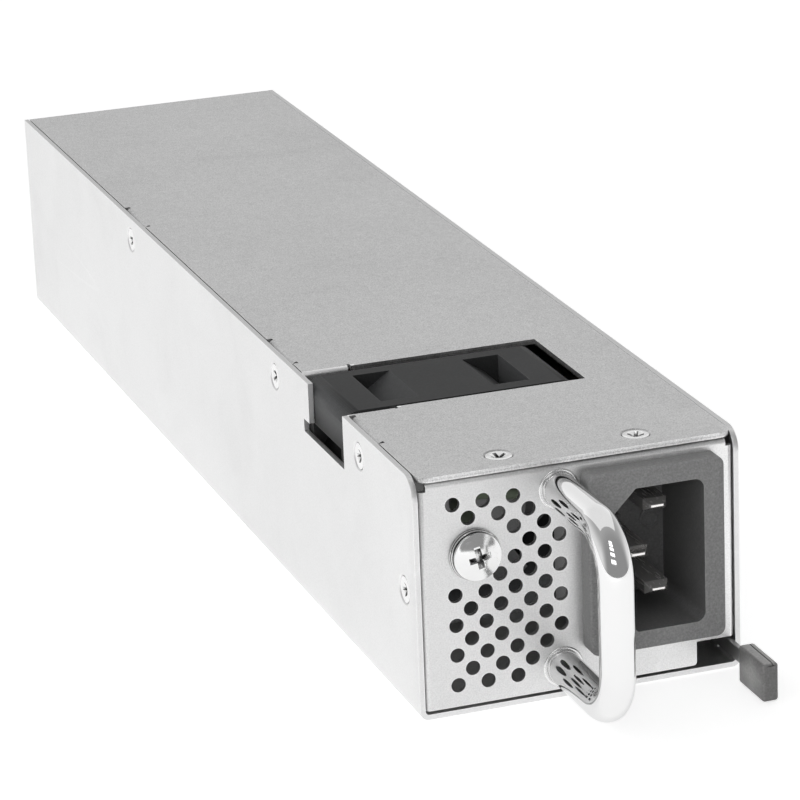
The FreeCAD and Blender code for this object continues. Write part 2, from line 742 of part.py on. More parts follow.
def front_plate():
    body = new_body("front_plate")
    door = f"({RIGHT} - latch_door_width)"
    outline = [
        (PLATE_LEFT, PLATE_LOW), (door, PLATE_LOW), (door, "latch_door_height"),
        (PLATE_RIGHT, "latch_door_height"), (PLATE_RIGHT, PLATE_HIGH), (PLATE_LEFT, PLATE_HIGH),
    ]
    add(body, "XZ_Plane", PLATE_FRONT, "sheet", outline)
    add(body, "XY_Plane", f"{PLATE_HIGH} - sheet", "sheet",
        rectangle(f"{PLATE_LEFT} + top_flange_inset", PLATE_FRONT, f"{PLATE_RIGHT} - top_flange_inset", f"{PLATE_BACK} + flange_length"))
    add(body, "YZ_Plane", PLATE_LEFT, "sheet", rectangle(PLATE_FRONT, f"{PLATE_LOW} + flange_rise", f"{PLATE_BACK} + flange_length", f"{PLATE_HIGH} - flange_inset"))
    add(body, "YZ_Plane", f"{PLATE_RIGHT} - sheet", "sheet",
        rectangle(PLATE_FRONT, "latch_high + flange_rise", f"{PLATE_BACK} + flange_length", f"{PLATE_HIGH} - flange_inset"))
    front = -size("case_length") / 2 + size("front_recess")
    outer = size("case_width") / 2 - size("sheet") - size("front_gap")
    top = size("case_height") - size("sheet") - size("sheet_gap")
    round_edges(body, "plate_bend", lambda e: (straight(e, AX) and through(e, y=front, z=top) and e.Length > 20)
                or (straight(e, AZ) and through(e, y=front) and near(abs(e.BoundBox.Center.x), outer) and e.Length > 20))
    notches = [rectangle(f"{PLATE_LEFT} - 1", f"{PLATE_HIGH} - plate_notch", f"{PLATE_LEFT} + plate_notch", f"{PLATE_HIGH} + 1"),
               rectangle(f"{PLATE_RIGHT} - plate_notch", f"{PLATE_HIGH} - plate_notch", f"{PLATE_RIGHT} + 1", f"{PLATE_HIGH} + 1")]
    remove(body, "XZ_Plane", f"{PLATE_FRONT} - 0.5", "sheet + 0.51", *notches)
    door_x = size("case_width") / 2 - size("latch_door_width")
    round_edges(body, "door_corner", lambda e: straight(e, AY) and through(e, x=door_x, z=size("sheet") + size("plate_rise")))
    tapped = [(f"{FRONT} + front_screw_setback", PLATE_SCREW_Z, "screw_radius + thread_gap")]
    remove(body, "YZ_Plane", f"{PLATE_LEFT} - 0.5", "case_width", *tapped)
    top_tapped = [(f"{LEFT} + front_screw_left + {k}*front_screw_pitch", f"{FRONT} + front_screw_setback", "screw_radius + thread_gap") for k in (0, 1)]
    remove(body, "XY_Plane", f"{PLATE_HIGH} - sheet - 0.5", "sheet + 1", *top_tapped)
    inlet_hole = rectangle(f"{INLET_X} - rim_width/2 + inlet_wall", f"{INLET_Z} - rim_height/2 + inlet_wall",
                           f"{INLET_X} + rim_width/2 - inlet_wall", f"{INLET_Z} + rim_height/2 - inlet_wall")
    handle_holes = [(HANDLE_X, f"{HANDLE_Z} {sign} handle_pitch/2", "handle_thread + thread_gap") for sign in "+-"]
    ground_hole = (GROUND_X, GROUND_Z, "ground_thread + thread_gap")
    remove(body, "XZ_Plane", f"{PLATE_FRONT} - 0.5", "sheet + 1", inlet_hole, ground_hole, *handle_holes)
    remove(body, "XZ_Plane", f"{PLATE_FRONT} - 0.5", "sheet + 1", *vents())


def vents():
    """The vent holes, left out around the ground screw and the handle's ends."""
    left, pitch = size("vent_left"), size("vent_pitch")
    top = size("case_height") - size("vent_drop")
    inlet_x = size("case_width") - size("inlet_inset")
    rim = inlet_x - size("rim_width") / 2
    handle_x, handle_z = rim - size("handle_gap"), size("case_height") / 2
    ground = (size("ground_x"), size("case_height") - size("ground_drop"))
    legs = [(handle_x, handle_z + sign * size("handle_pitch") / 2) for sign in (1, -1)]
    columns = int((rim - left - size("vent_radius") - size("vent_margin")) / pitch) + 1
    rows = int((top - size("sheet") - size("plate_rise") - size("vent_margin")) / pitch) + 1
    for u, v, column, row in lattice(f"({LEFT} + vent_left)", VENT_TOP, "vent_pitch", columns, rows):
        x = left + column * pitch
        z = top - row * pitch
        if math.dist((x, z), ground) < size("ground_clear"):
            continue
        if any(math.dist((x, z), leg) < size("handle_clear") for leg in legs):
            continue
        yield (u, v, "vent_radius")


def flush_screw(x, y, z, side):
    """A countersunk screw whose head lies in a plane; side is the way the head faces."""
    turn = {"left": Rotation(Vector(0, 1, 0), 90), "right": Rotation(Vector(0, 1, 0), -90), "up": Rotation(Vector(1, 0, 0), 180)}[side]
    inward = {"left": (1, 0), "right": (-1, 0), "up": (0, -1)}[side]
    head = cone(f"{FLUSH_HEAD} - sink_play", "screw_radius", SINK, x, y, z, turn)
    shank = doc.addObject("Part::Cylinder", serial("shank"))
    bind(shank, Radius="screw_radius", Height=f"screw_length - {SINK}")
    place(shank, f"({x}) + {inward[0]}*{SINK}", y, f"({z}) + {inward[1]}*{SINK}", turn)
    if side == "up":
        slots = [block(f"({x}) - {a}/2", f"({y}) - {b}/2", f"({z}) - cross_depth", f"({x}) + {a}/2", f"({y}) + {b}/2", f"({z}) + 0.5")
                 for a, b in (("cross_width", "cross_span"), ("cross_span", "cross_width"))]
    else:
        slots = [block(f"({x}) - cross_depth", f"({y}) - {a}/2", f"({z}) - {b}/2", f"({x}) + cross_depth", f"({y}) + {a}/2", f"({z}) + {b}/2")
                 for a, b in (("cross_width", "cross_span"), ("cross_span", "cross_width"))]
    return cut(joined(head, shank), joined(*slots))


def case_screws():
    cover_screws = []
    for tab in TAB_PLACES:
        cover_screws.append(flush_screw(LEFT, f"{FRONT} + {tab}", SIDE_SCREW_Z, "left"))
        cover_screws.append(flush_screw(RIGHT, f"{FRONT} + {tab}", SIDE_SCREW_Z, "right"))
    node("cover_side_screws", group(*cover_screws))
    node("cover_front_screws", group(*[
        flush_screw(f"{LEFT} + front_screw_left + {k}*front_screw_pitch", f"{FRONT} + front_screw_setback", TOP, "up") for k in (0, 1)]))
    node("front_plate_screws", group(
        flush_screw(LEFT, f"{FRONT} + front_screw_setback", PLATE_SCREW_Z, "left"),
        flush_screw(RIGHT, f"{FRONT} + front_screw_setback", PLATE_SCREW_Z, "right")))


# ---------------------------------------------------------------- things on the front plate
def handle():
    high = f"({HANDLE_Z} + handle_pitch/2)"
    low = f"({HANDLE_Z} - handle_pitch/2)"
    bar_y = f"({PLATE_FRONT} - handle_reach)"
    seat = f"({PLATE_FRONT} - collar_thickness)"
    run = f"({seat} - {bar_y} - handle_bend)"
    legs = [rod("handle_radius", run, HANDLE_X, f"{bar_y} + handle_bend", z, "Y") for z in (high, low)]
    bar = rod("handle_radius", "handle_pitch - 2*handle_bend", HANDLE_X, bar_y, f"{low} + handle_bend")
    corner_low = ring("handle_bend", "handle_radius", HANDLE_X, f"{bar_y} + handle_bend", f"{low} + handle_bend",
                      Rotation(Vector(0, 1, 0), Vector(0, 0, 1), Vector(1, 0, 0), "XYZ") * Rotation(Vector(0, 0, 1), 180), 90)
    corner_high = ring("handle_bend", "handle_radius", HANDLE_X, f"{bar_y} + handle_bend", f"{high} - handle_bend",
                       Rotation(Vector(0, 1, 0), Vector(0, 0, 1), Vector(1, 0, 0), "XYZ") * Rotation(Vector(0, 0, 1), 90), 90)
    ends = [rod("handle_thread", "collar_thickness + sheet + handle_nut_thickness + 1", HANDLE_X, seat, z, "Y") for z in (high, low)]
    node("pull_handle", joined(*legs, bar, corner_low, corner_high, *ends))
    collars = []
    nuts = []
    for z in (high, low):
        disc = rod("collar_radius", "collar_thickness - 0.02", HANDLE_X, f"{seat} + 0.01", z, "Y")
        bore = rod("handle_thread + thread_gap", "collar_thickness", HANDLE_X, seat, z, "Y")
        collars.append(cut(disc, bore))
        seat_y = f"{PLATE_BACK} + 0.01"
        hexagon = nut("handle_nut", "handle_nut_thickness", HANDLE_X, seat_y, z, "Y")
        thread = rod("handle_thread + thread_gap", "handle_nut_thickness", HANDLE_X, seat_y, z, "Y")
        nuts.append(cut(hexagon, thread))
    node("handle_collars", group(*collars))
    node("handle_nuts", group(*nuts))


def ground_fixing():
    x, z = GROUND_X, GROUND_Z
    seat = f"({PLATE_FRONT} - washer_thickness - 0.02)"
    head = rod("ground_head", "ground_head_rise", x, f"{seat} - ground_head_rise", z, "Y")
    shank = rod("ground_thread", "washer_thickness + sheet + lug_thickness + ground_nut_thickness + 1", x, seat, z, "Y")
    face = f"{seat} - ground_head_rise"
    slots = [block(f"{x} - {a}/2", f"{face} - 0.5", f"{z} - {b}/2", f"{x} + {a}/2", f"{face} + ground_cross_depth", f"{z} + {b}/2")
             for a, b in (("ground_cross_width", "ground_cross_span"), ("ground_cross_span", "ground_cross_width"))]
    screw = joined(head, shank)
    doc.recompute()
    rim = doc.addObject("Part::Fillet", serial("round"))
    rim.Base = screw
    front = size("case_length") / -2 + size("front_recess") - size("washer_thickness") - 0.02 - size("ground_head_rise")
    soft = size("ground_head_round")
    rim.Edges = [(k, soft, soft) for k, edge in enumerate(screw.Shape.Edges, start=1)
                 if isinstance(edge.Curve, Part.Circle) and near(edge.Curve.Center.y, front)]
    node("ground_screw", cut(rim, joined(*slots)))
    washer = rod("washer_radius", "washer_thickness", x, f"{seat} + 0.01", z, "Y")
    node("ground_washer", cut(washer, rod("ground_thread + thread_gap", "washer_thickness", x, f"{seat} + 0.01", z, "Y")))
    nut_seat = f"({PLATE_BACK} + lug_thickness + 0.02)"
    hexagon = nut("ground_nut", "ground_nut_thickness", x, nut_seat, z, "Y")
    thread = rod("ground_thread + thread_gap", "ground_nut_thickness", x, nut_seat, z, "Y")
    node("ground_nut", cut(hexagon, thread))


def inlet():
    body = new_body("inlet_body")
    low, high = f"({INLET_Z} - rim_height/2)", f"({INLET_Z} + rim_height/2)"
    left, right = f"({INLET_X} - rim_width/2)", f"({INLET_X} + rim_width/2)"
    face = f"({PLATE_FRONT} - rim_thickness)"
    add(body, "XZ_Plane", face, "rim_thickness - 0.01", rectangle(left, low, right, high))
    round_edges(body, "rim_corner", lambda e: straight(e, AY))
    face_y = -size("case_length") / 2 + size("front_recess") - size("rim_thickness")
    round_edges(body, "rim_edge", lambda e: through(e, y=face_y))
    inset = "(inlet_wall + 0.1)"
    add(body, "XZ_Plane", f"{PLATE_FRONT} - 0.5", "socket_depth + inlet_base - rim_thickness + 0.5",
        rectangle(f"{left} + {inset}", f"{low} + {inset}", f"{right} - {inset}", f"{high} - {inset}"))
    s_left, s_right = f"({SOCKET_X} - socket_width/2)", f"({SOCKET_X} + socket_width/2)"
    s_low, s_high = f"({INLET_Z} - socket_height/2)", f"({INLET_Z} + socket_height/2)"
    socket = [(f"{s_left} + socket_bevel", s_low), (s_right, s_low), (s_right, s_high), (f"{s_left} + socket_bevel", s_high),
              (s_left, f"{s_high} - socket_bevel"), (s_left, f"{s_low} + socket_bevel")]
    remove(body, "XZ_Plane", f"{face} - 0.1", "socket_depth + 0.1", socket)
    s_right_x = size("case_width") / 2 - size("inlet_inset") - size("socket_shift") + size("socket_width") / 2
    round_edges(body, "socket_corner", lambda e: straight(e, AY) and through(e, x=s_right_x) and near(e.Length, size("socket_depth")))
    slots = [rectangle(f"{x} - pin_width/2 - pin_gap", f"{z} - pin_thickness/2 - pin_gap",
                       f"{x} + pin_width/2 + pin_gap", f"{z} + pin_thickness/2 + pin_gap") for x, z in pin_places()]
    remove(body, "XZ_Plane", f"{face} + socket_depth - 0.5", "inlet_base + 1", *slots)
    pins = []
    for (x, z), recess in zip(pin_places(), ("line_pin_recess", "line_pin_recess", "earth_pin_recess")):
        shoulder = f"{face} + {recess} + pin_taper"
        blade = block(f"{x} - pin_width/2", shoulder, f"{z} - pin_thickness/2",
                      f"{x} + pin_width/2", f"{face} + socket_depth + inlet_base + pin_tail", f"{z} + pin_thickness/2")
        tip = doc.addObject("Part::Wedge", serial("tip"))
        bind(tip, Xmin="-pin_tip_width/2", Xmax="pin_tip_width/2", Zmin="-pin_tip_thickness/2", Zmax="pin_tip_thickness/2",
             X2min="-pin_width/2", X2max="pin_width/2", Z2min="-pin_thickness/2", Z2max="pin_thickness/2", Ymin="0", Ymax="pin_taper")
        place(tip, x, f"{face} + {recess}", z)
        pins.append(joined(blade, tip))
    node("inlet_line_pins", group(pins[0], pins[1]))
    node("inlet_earth_pin", pins[2])


def pin_places():
    """Line, neutral and earth, seen from the front with the socket standing on its side."""
    return ((f"({SOCKET_X} + pin_offset)", f"({INLET_Z} + pin_pitch/2)"),
            (f"({SOCKET_X} + pin_offset)", f"({INLET_Z} - pin_pitch/2)"),
            (f"({SOCKET_X} - pin_offset)", INLET_Z))


# ---------------------------------------------------------------- fan
def frame_hollows():
    """The eight hollows between the corner posts and the duct, which is flat where it meets the square."""
    half = f"({FAN_SIZE}/2)"
    along, out, post = f"(barrel_shoulder*{half})", f"({half} - barrel_drop)", f"({half} - fan_post)"
    wedge = [("barrel_flat/2", f"({half} + 1)"), ("barrel_flat/2", half), (along, out), (post, f"({along} + {out} - {post})"), (post, f"({half} + 1)")]
    hollows = []
    for a, b in (("+", "+"), ("+", "-"), ("-", "-"), ("-", "+")):
        hollows.append([(f"{FAN_X} {a} {u}", f"{FAN_Z} {b} {v}") for u, v in wedge])
        hollows.append([(f"{FAN_X} {a} {v}", f"{FAN_Z} {b} {u}") for u, v in wedge])
    return hollows


def fan_frame():
    body = new_body("fan_frame")
    square = rectangle(FAN_LEFT, f"{FAN_Z} - {FAN_SIZE}/2", FAN_RIGHT, f"{FAN_Z} + {FAN_SIZE}/2")
    half = size("case_height") / 2
    centre = -size("case_width") / 2 + size("sheet") + size("fan_gap") + half
    add(body, "XZ_Plane", FAN_FRONT, "fan_depth", square)
    round_edges(body, "fan_corner", lambda e: straight(e, AY) and near(abs(e.BoundBox.Center.x - centre), half))
    remove(body, "XZ_Plane", f"{FAN_FRONT} + fan_flange", "fan_depth - 2*fan_flange", *frame_hollows())
    remove(body, "XZ_Plane", f"{FAN_FRONT} - 0.5", "fan_depth + 1", (FAN_X, FAN_Z, FAN_BORE))
    add(body, "XZ_Plane", f"{FAN_BACK} - motor_base", "motor_base", (FAN_X, FAN_Z, "hub_radius"))
    half = "strut_width/2"
    inner, outer = "(hub_radius - 1)", f"({FAN_BORE} + 0.3)"
    strut = [rectangle(f"{FAN_X} - {half}", f"{FAN_Z} + {inner}", f"{FAN_X} + {half}", f"{FAN_Z} + {outer}"),
             rectangle(f"{FAN_X} - {half}", f"{FAN_Z} - {outer}", f"{FAN_X} + {half}", f"{FAN_Z} - {inner}"),
             rectangle(f"{FAN_X} + {inner}", f"{FAN_Z} - {half}", f"{FAN_X} + {outer}", f"{FAN_Z} + {half}"),
             rectangle(f"{FAN_X} - {outer}", f"{FAN_Z} - {half}", f"{FAN_X} - {inner}", f"{FAN_Z} + {half}")]
    add(body, "XZ_Plane", f"{FAN_BACK} - motor_base", "motor_base - 0.4", *strut)
    add(body, "XZ_Plane", f"{FAN_FRONT} + tube_setback", "fan_depth - tube_setback - motor_base/2", (FAN_X, FAN_Z, "bearing_radius + press_gap + tube_wall"))
    remove(body, "XZ_Plane", f"{FAN_FRONT} + tube_setback - 0.5", "fan_depth - tube_setback + 0.5 - tube_floor", (FAN_X, FAN_Z, "bearing_radius + press_gap"))
    screws = [(f"{FAN_X} {a} {FAN_HOLE}", f"{FAN_Z} {b} {FAN_HOLE}", "fan_hole") for a in "+-" for b in "+-"]
    remove(body, "XZ_Plane", f"{FAN_FRONT} - 0.5", "fan_depth + 1", *screws)


def fan_blade(angle):
    """One twisted blade from inside the hub's wall to just short of the bore."""
    hub = size("hub_radius") - size("hub_wall") / 2
    tip = size("case_height") / 2 - size("fan_wall") - size("blade_tip_gap")
    half_chord, thickness, camber = size("blade_chord") / 2, size("blade_thickness"), size("blade_camber")
    root, end = size("blade_root_angle"), size("blade_tip_angle")
    sections = []
    for step in range(4):
        radius = hub + (tip + 1 - hub) * step / 3
        twist = math.radians(root + (end - root) * step / 3)
        axial, around = half_chord * math.sin(twist), half_chord * math.cos(twist)
        loop = [Vector(s * around + t, s * axial, radius)
                for s, t in ((-1, 0), (0, camber), (1, 0), (1, thickness), (0, camber + thickness), (-1, thickness))]
        sections.append(Part.makePolygon(loop + loop[:1]))
    blade = Part.makeLoft(sections, True, True)
    blade = blade.common(Part.makeCylinder(tip, 40, Vector(0, -20, 0), AY))
    blade.rotate(Vector(), AY, angle)
    return blade


def impeller():
    x, z = FAN_X, FAN_Z
    front = f"({FAN_FRONT} + hub_front)"
    shell = rod("hub_radius", "hub_length", x, front, z, "Y")
    inside = rod("hub_radius - hub_wall", "hub_length - hub_wall", x, f"{front} + hub_wall", z, "Y")
    bore = rod("shaft_radius", "hub_wall", x, front, z, "Y")
    hub = cut(shell, inside, bore)
    doc.recompute()
    count = int(size("blade_count"))
    centre = hub.Shape.BoundBox.Center
    blades = [fan_blade(360 * k / count) for k in range(count)]
    for blade in blades:
        blade.translate(centre)
    whole = hub.Shape.copy().fuse(blades)
    core = Part.makeCylinder(size("hub_radius") - size("hub_wall"), size("hub_length") - size("hub_wall"),
                             Vector(centre.x, hub.Shape.BoundBox.YMin + size("hub_wall"), centre.z), Vector(0, 1, 0))
    feature("fan_impeller", whole.cut(core).Solids[0])
    node("fan_shaft", rod("shaft_radius", "fan_depth - hub_front - hub_wall - shaft_short", x, f"{front} + 0.2", z, "Y"))
    magnet = rod("hub_radius - hub_wall - press_gap", "hub_length - hub_wall - magnet_short", x, f"{front} + hub_wall + magnet_short/2", z, "Y")
    hollow = rod("hub_radius - hub_wall - press_gap - magnet_wall", "hub_length", x, front, z, "Y")
    node("fan_magnet", cut(magnet, hollow))
    core_radius = "hub_radius - hub_wall - press_gap - magnet_wall - air_gap"
    coil_y = f"({FAN_FRONT} + hub_front + hub_length/2 + hub_wall/2 - coil_length/2 - 0.2)"
    stator = rod(core_radius, "coil_length", x, coil_y, z, "Y")
    tube = rod("bearing_radius + 2*press_gap + tube_wall", "fan_depth", x, FAN_FRONT, z, "Y")
    reach = "coil_slot_radius"
    gaps = [block(f"{x} {a} - coil_slot/2", f"{coil_y} - 0.5", f"{z} {b} - coil_slot/2",
                  f"{x} {a} + coil_slot/2", f"{coil_y} + coil_length + 0.5", f"{z} {b} + coil_slot/2")
            for a, b in ((f"- {reach}", "- 0"), (f"+ {reach}", "- 0"), ("+ 0", f"+ {reach}"), ("+ 0", f"- {reach}"))]
    node("fan_coil_core", cut(stator, tube, *gaps))
    circuit = rod("hub_radius - circuit_inset", "fan_board", x, f"{FAN_BACK} - motor_base - fan_board - 0.01", z, "Y")
    node("fan_circuit", cut(circuit, rod("bearing_radius + 2*press_gap + tube_wall", "fan_depth", x, FAN_FRONT, z, "Y")))
    bearings = []
    for y in (f"{FAN_FRONT} + tube_setback + bearing_setback", f"{FAN_BACK} - tube_floor - bearing_setback - bearing_width"):
        race = rod("bearing_radius", "bearing_width", x, y, z, "Y")
        bearings.append(cut(race, rod("shaft_radius + running_gap", "bearing_width", x, y, z, "Y")))
    node("fan_bearings", group(*bearings))


def fan_bracket():
    body = new_body("fan_bracket")
    start = f"({FAN_BACK} + 0.02)"
    high = f"({UNDER_COVER} - bracket_drop)"
    add(body, "XZ_Plane", start, "sheet", rectangle(f"{FAN_LEFT} + bracket_inset", "sheet + 0.02", f"{FAN_RIGHT} + bracket_side", high))
    foot_start = f"({WINDOW_BACK} + bracket_inset)"
    add(body, "XY_Plane", "sheet + 0.02", "sheet",
        rectangle(f"{FAN_LEFT} + 4", start, f"{FAN_RIGHT} - 3", f"{foot_start} + bracket_foot"))
    holes = [(FAN_X, FAN_Z, f"{FAN_BORE} - 0.4")]
    holes += [(f"{FAN_X} {a} {FAN_HOLE}", f"{FAN_Z} {b} {FAN_HOLE}", "screw_radius") for a in "+-" for b in "+-"]
    remove(body, "XZ_Plane", f"{start} - 0.5", "sheet + 1", *holes)
    screws = []
    for a in "+-":
        for b in "+-":
            x, z = f"({FAN_X} {a} {FAN_HOLE})", f"({FAN_Z} {b} {FAN_HOLE})"
            head = rod("fan_screw_head", "fan_screw_rise", x, f"{start} + sheet + 0.01", z, "Y")
            shank = rod("screw_radius - 0.1", "fan_screw_length", x, f"{start} + sheet + 0.01 - fan_screw_length", z, "Y")
            screws.append(joined(head, shank))
    node("fan_screws", group(*screws))


# ---------------------------------------------------------------- latch
def latch():
    body = new_body("latch_lever")
    neck_end = f"({FRONT} + latch_neck_end)"
    thumb_front = f"({FRONT} - thumb_front)"
    tip = f"({thumb_front} + 1.2)"
    tooth = f"({RIGHT} + tooth_rise)"
    front_tooth, back_tooth = f"({FRONT} + tooth_front)", f"({FRONT} + tooth_back)"
    add(body, "XY_Plane", "latch_neck_low", "latch_neck_high - latch_neck_low",
        rectangle(LATCH_IN, tip, LATCH_OUT, f"{neck_end} + 1"))
    strip = [
        (LATCH_IN, neck_end), (LATCH_OUT, neck_end), (LATCH_OUT, front_tooth), (tooth, front_tooth),
        (f"{tooth}", f"{front_tooth} + latch_sheet"), (LATCH_OUT, back_tooth), (LATCH_OUT, PIVOT_Y),
        (LATCH_IN, PIVOT_Y), (LATCH_IN, f"{back_tooth} - 1.2"), (f"{LATCH_OUT} + 0.6", f"{front_tooth} + latch_sheet + 0.6"),
        (f"{LATCH_OUT}", f"{front_tooth} + latch_sheet"), (LATCH_IN, f"{front_tooth} + latch_sheet"),
    ]
    add(body, "XY_Plane", "latch_low", "latch_high - latch_low", strip)
    add(body, "XY_Plane", "latch_low", "latch_high - latch_low", (PIVOT_X, PIVOT_Y, "latch_eye"))
    remove(body, "XY_Plane", "latch_low - 0.5", "latch_high - latch_low + 1", (PIVOT_X, PIVOT_Y, "latch_pin + latch_pin_gap"))
    grip = new_body("latch_thumb_tab")
    left = f"({LATCH_IN} - thumb_cover)"
    right = f"({left} + thumb_width)"
    add(grip, "XY_Plane", "thumb_low", "thumb_high - thumb_low",
        rectangle(left, thumb_front, right, f"{thumb_front} + thumb_length"))
    round_edges(grip, "thumb_round", lambda e: straight(e, AX))
    remove(grip, "XY_Plane", "latch_neck_low - 0.02", "latch_neck_high - latch_neck_low + 0.04",
           rectangle(f"{LATCH_IN} - 0.02", f"{tip} - 0.02", f"{LATCH_OUT} + 0.02", f"{FRONT}"))
    latch_mount()


def latch_mount():
    low = "(sheet + 0.02)"
    inner = f"({PIVOT_X} - latch_eye - latch_bracket_reach)"
    y0, y1 = f"({PIVOT_Y} - latch_bracket_width/2)", f"({PIVOT_Y} + latch_bracket_width/2)"
    foot = block(inner, y0, low, f"{INNER_RIGHT} - 0.7", y1, f"{low} + latch_sheet")
    post = block(f"{inner} - latch_sheet", y0, low, inner, y1, "latch_bracket_top + latch_sheet")
    arm = block(inner, y0, "latch_bracket_top", f"{PIVOT_X} + latch_eye", y1, "latch_bracket_top + latch_sheet")
    holes = [rod("latch_pin + latch_pin_gap", "latch_bracket_top + 5", PIVOT_X, PIVOT_Y, "0")]
    node("latch_bracket", cut(joined(foot, post, arm), *holes))
    pin = rod("latch_pin", "latch_bracket_top", PIVOT_X, PIVOT_Y, f"{low} + 0.02")
    shoulder = rod("latch_pin", "latch_sheet + 0.1", PIVOT_X, PIVOT_Y, "latch_bracket_top - 0.05")
    head = rod("latch_pin*1.7", "0.6", PIVOT_X, PIVOT_Y, "latch_bracket_top + latch_sheet + 0.01")
    node("latch_pivot_pin", joined(pin, shoulder, head))
    wire = size("spring_wire")
    low_z, high_z = size("latch_high") + 0.3 + wire / 2, size("latch_bracket_top") - 0.01 - wire / 2
    radius = size("latch_pin") + 0.1 + wire / 2
    helix = Part.makeHelix((high_z - low_z) / size("spring_turns"), high_z - low_z, radius)
    profile = Part.Wire(Part.makeCircle(wire / 2, Vector(radius, 0, 0), Vector(0, 1, 0)))
    coil = Part.Wire(helix).makePipeShell([profile], True, True)
    spring = doc.addObject("Part::Feature", "latch_spring")
    spring.Shape = coil
    pivot_x = size("case_width") / 2 - size("sheet") - size("latch_inset") - size("latch_eye")
    spring.Placement = Placement(Vector(pivot_x, size("latch_pivot_setback") - size("case_length") / 2, low_z), Rotation())
    node("latch_spring", spring)


# ---------------------------------------------------------------- boards and electronics
def board_fixings():
    """The six places where the main board is screwed down."""
    side = f"({BOARD_HALF} - fixing_side)"
    for y in (f"({BOARD_FRONT} + fixing_end)", f"(({BOARD_FRONT} + {BOARD_BACK})/2)", f"({BOARD_BACK} - fixing_end)"):
        yield f"(-{side})", y
        yield side, y


def boards():
    outline = [
        (f"-{BOARD_HALF}", BOARD_FRONT), (BOARD_HALF, BOARD_FRONT), (BOARD_HALF, BOARD_BACK),
        ("tongue_width/2", BOARD_BACK), ("tongue_width/2", f"{BACK} + tongue_reach"),
        ("-tongue_width/2", f"{BACK} + tongue_reach"), ("-tongue_width/2", BOARD_BACK), (f"-{BOARD_HALF}", BOARD_BACK),
    ]
    body = new_body("main_board")
    add(body, "XY_Plane", "board_height", "board_thickness", outline)
    remove(body, "XY_Plane", "board_height - 0.5", "board_thickness + 1",
           *[(x, y, "board_screw + 0.2") for x, y in board_fixings()])
    film = new_body("insulating_sheet")
    add(film, "XY_Plane", "sheet + insulator_gap", "insulator_thickness",
        rectangle(f"-{BOARD_HALF}", f"{BOARD_FRONT} + 1.5", BOARD_HALF, BOARD_BACK))
    remove(film, "XY_Plane", "sheet", "3", *[(x, y, "standoff_radius + 0.4") for x, y in board_fixings()])
    posts, screws = [], []
    for x, y in board_fixings():
        post = nut("standoff_radius", "board_height - sheet - 0.04", x, y, "sheet + 0.02")
        foot = rod("standoff_radius - 0.85", "sheet", x, y, "0.05")
        posts.append(cut(joined(post, foot), rod("board_screw + thread_gap", "board_screw_bite + 1", x, y, "board_height - board_screw_bite - 0.5")))
        head = rod("board_screw_head", "board_screw_rise", x, y, SEAT)
        shank = rod("board_screw", "board_thickness + board_screw_bite", x, y, f"{SEAT} - board_thickness - board_screw_bite")
        screws.append(joined(head, shank))
    node("board_standoffs", group(*posts))
    node("board_screws", group(*screws))
    count = int((size("tongue_width") - 2) / size("contact_pitch"))
    pads = []
    for k in range(count):
        x = f"({k - (count - 1) / 2}*contact_pitch)"
        for z in (f"{BOARD_TOP}", "(board_height - contact_thickness)"):
            pads.append(block(f"{x} - contact_width/2", f"{BACK} + tongue_reach - contact_inset - contact_length", z,
                              f"{x} + contact_width/2", f"{BACK} + tongue_reach - contact_inset", f"{z} + contact_thickness"))
    node("output_contacts", group(*pads))


# depth along the board of each station, from the inlet end
STATIONS = (
    ("fuse", "2*fuse_radius + 1"),
    ("first_film", "film_cap_depth"),
    ("line_choke", "2*(line_choke_tube + winding_build)"),
    ("second_film", "film_cap_depth"),
    ("boost_choke", "2*(boost_choke_radius + boost_choke_tube + winding_build)"),
    ("bulk", "bulk_length"),
    ("transformer", "transformer_depth"),
    ("output_sink", "output_sink_depth"),
    ("output_caps", "2*output_cap_pitch"),
)


def station(name):
    """The middle of a station along the board, with equal gaps between stations."""
    total = " + ".join(f"({depth})" for _, depth in STATIONS)
    gap = f"((({BOARD_BACK}) - ({BOARD_FRONT}) - ({total}))/{len(STATIONS) + 1})"
    before = [f"({depth})" for _, depth in STATIONS[:[s for s, _ in STATIONS].index(name)]]
    own = dict(STATIONS)[name]
    return f"({' + '.join([BOARD_FRONT, f'{len(before) + 1}*{gap}', *before, f'({own})/2'])})"


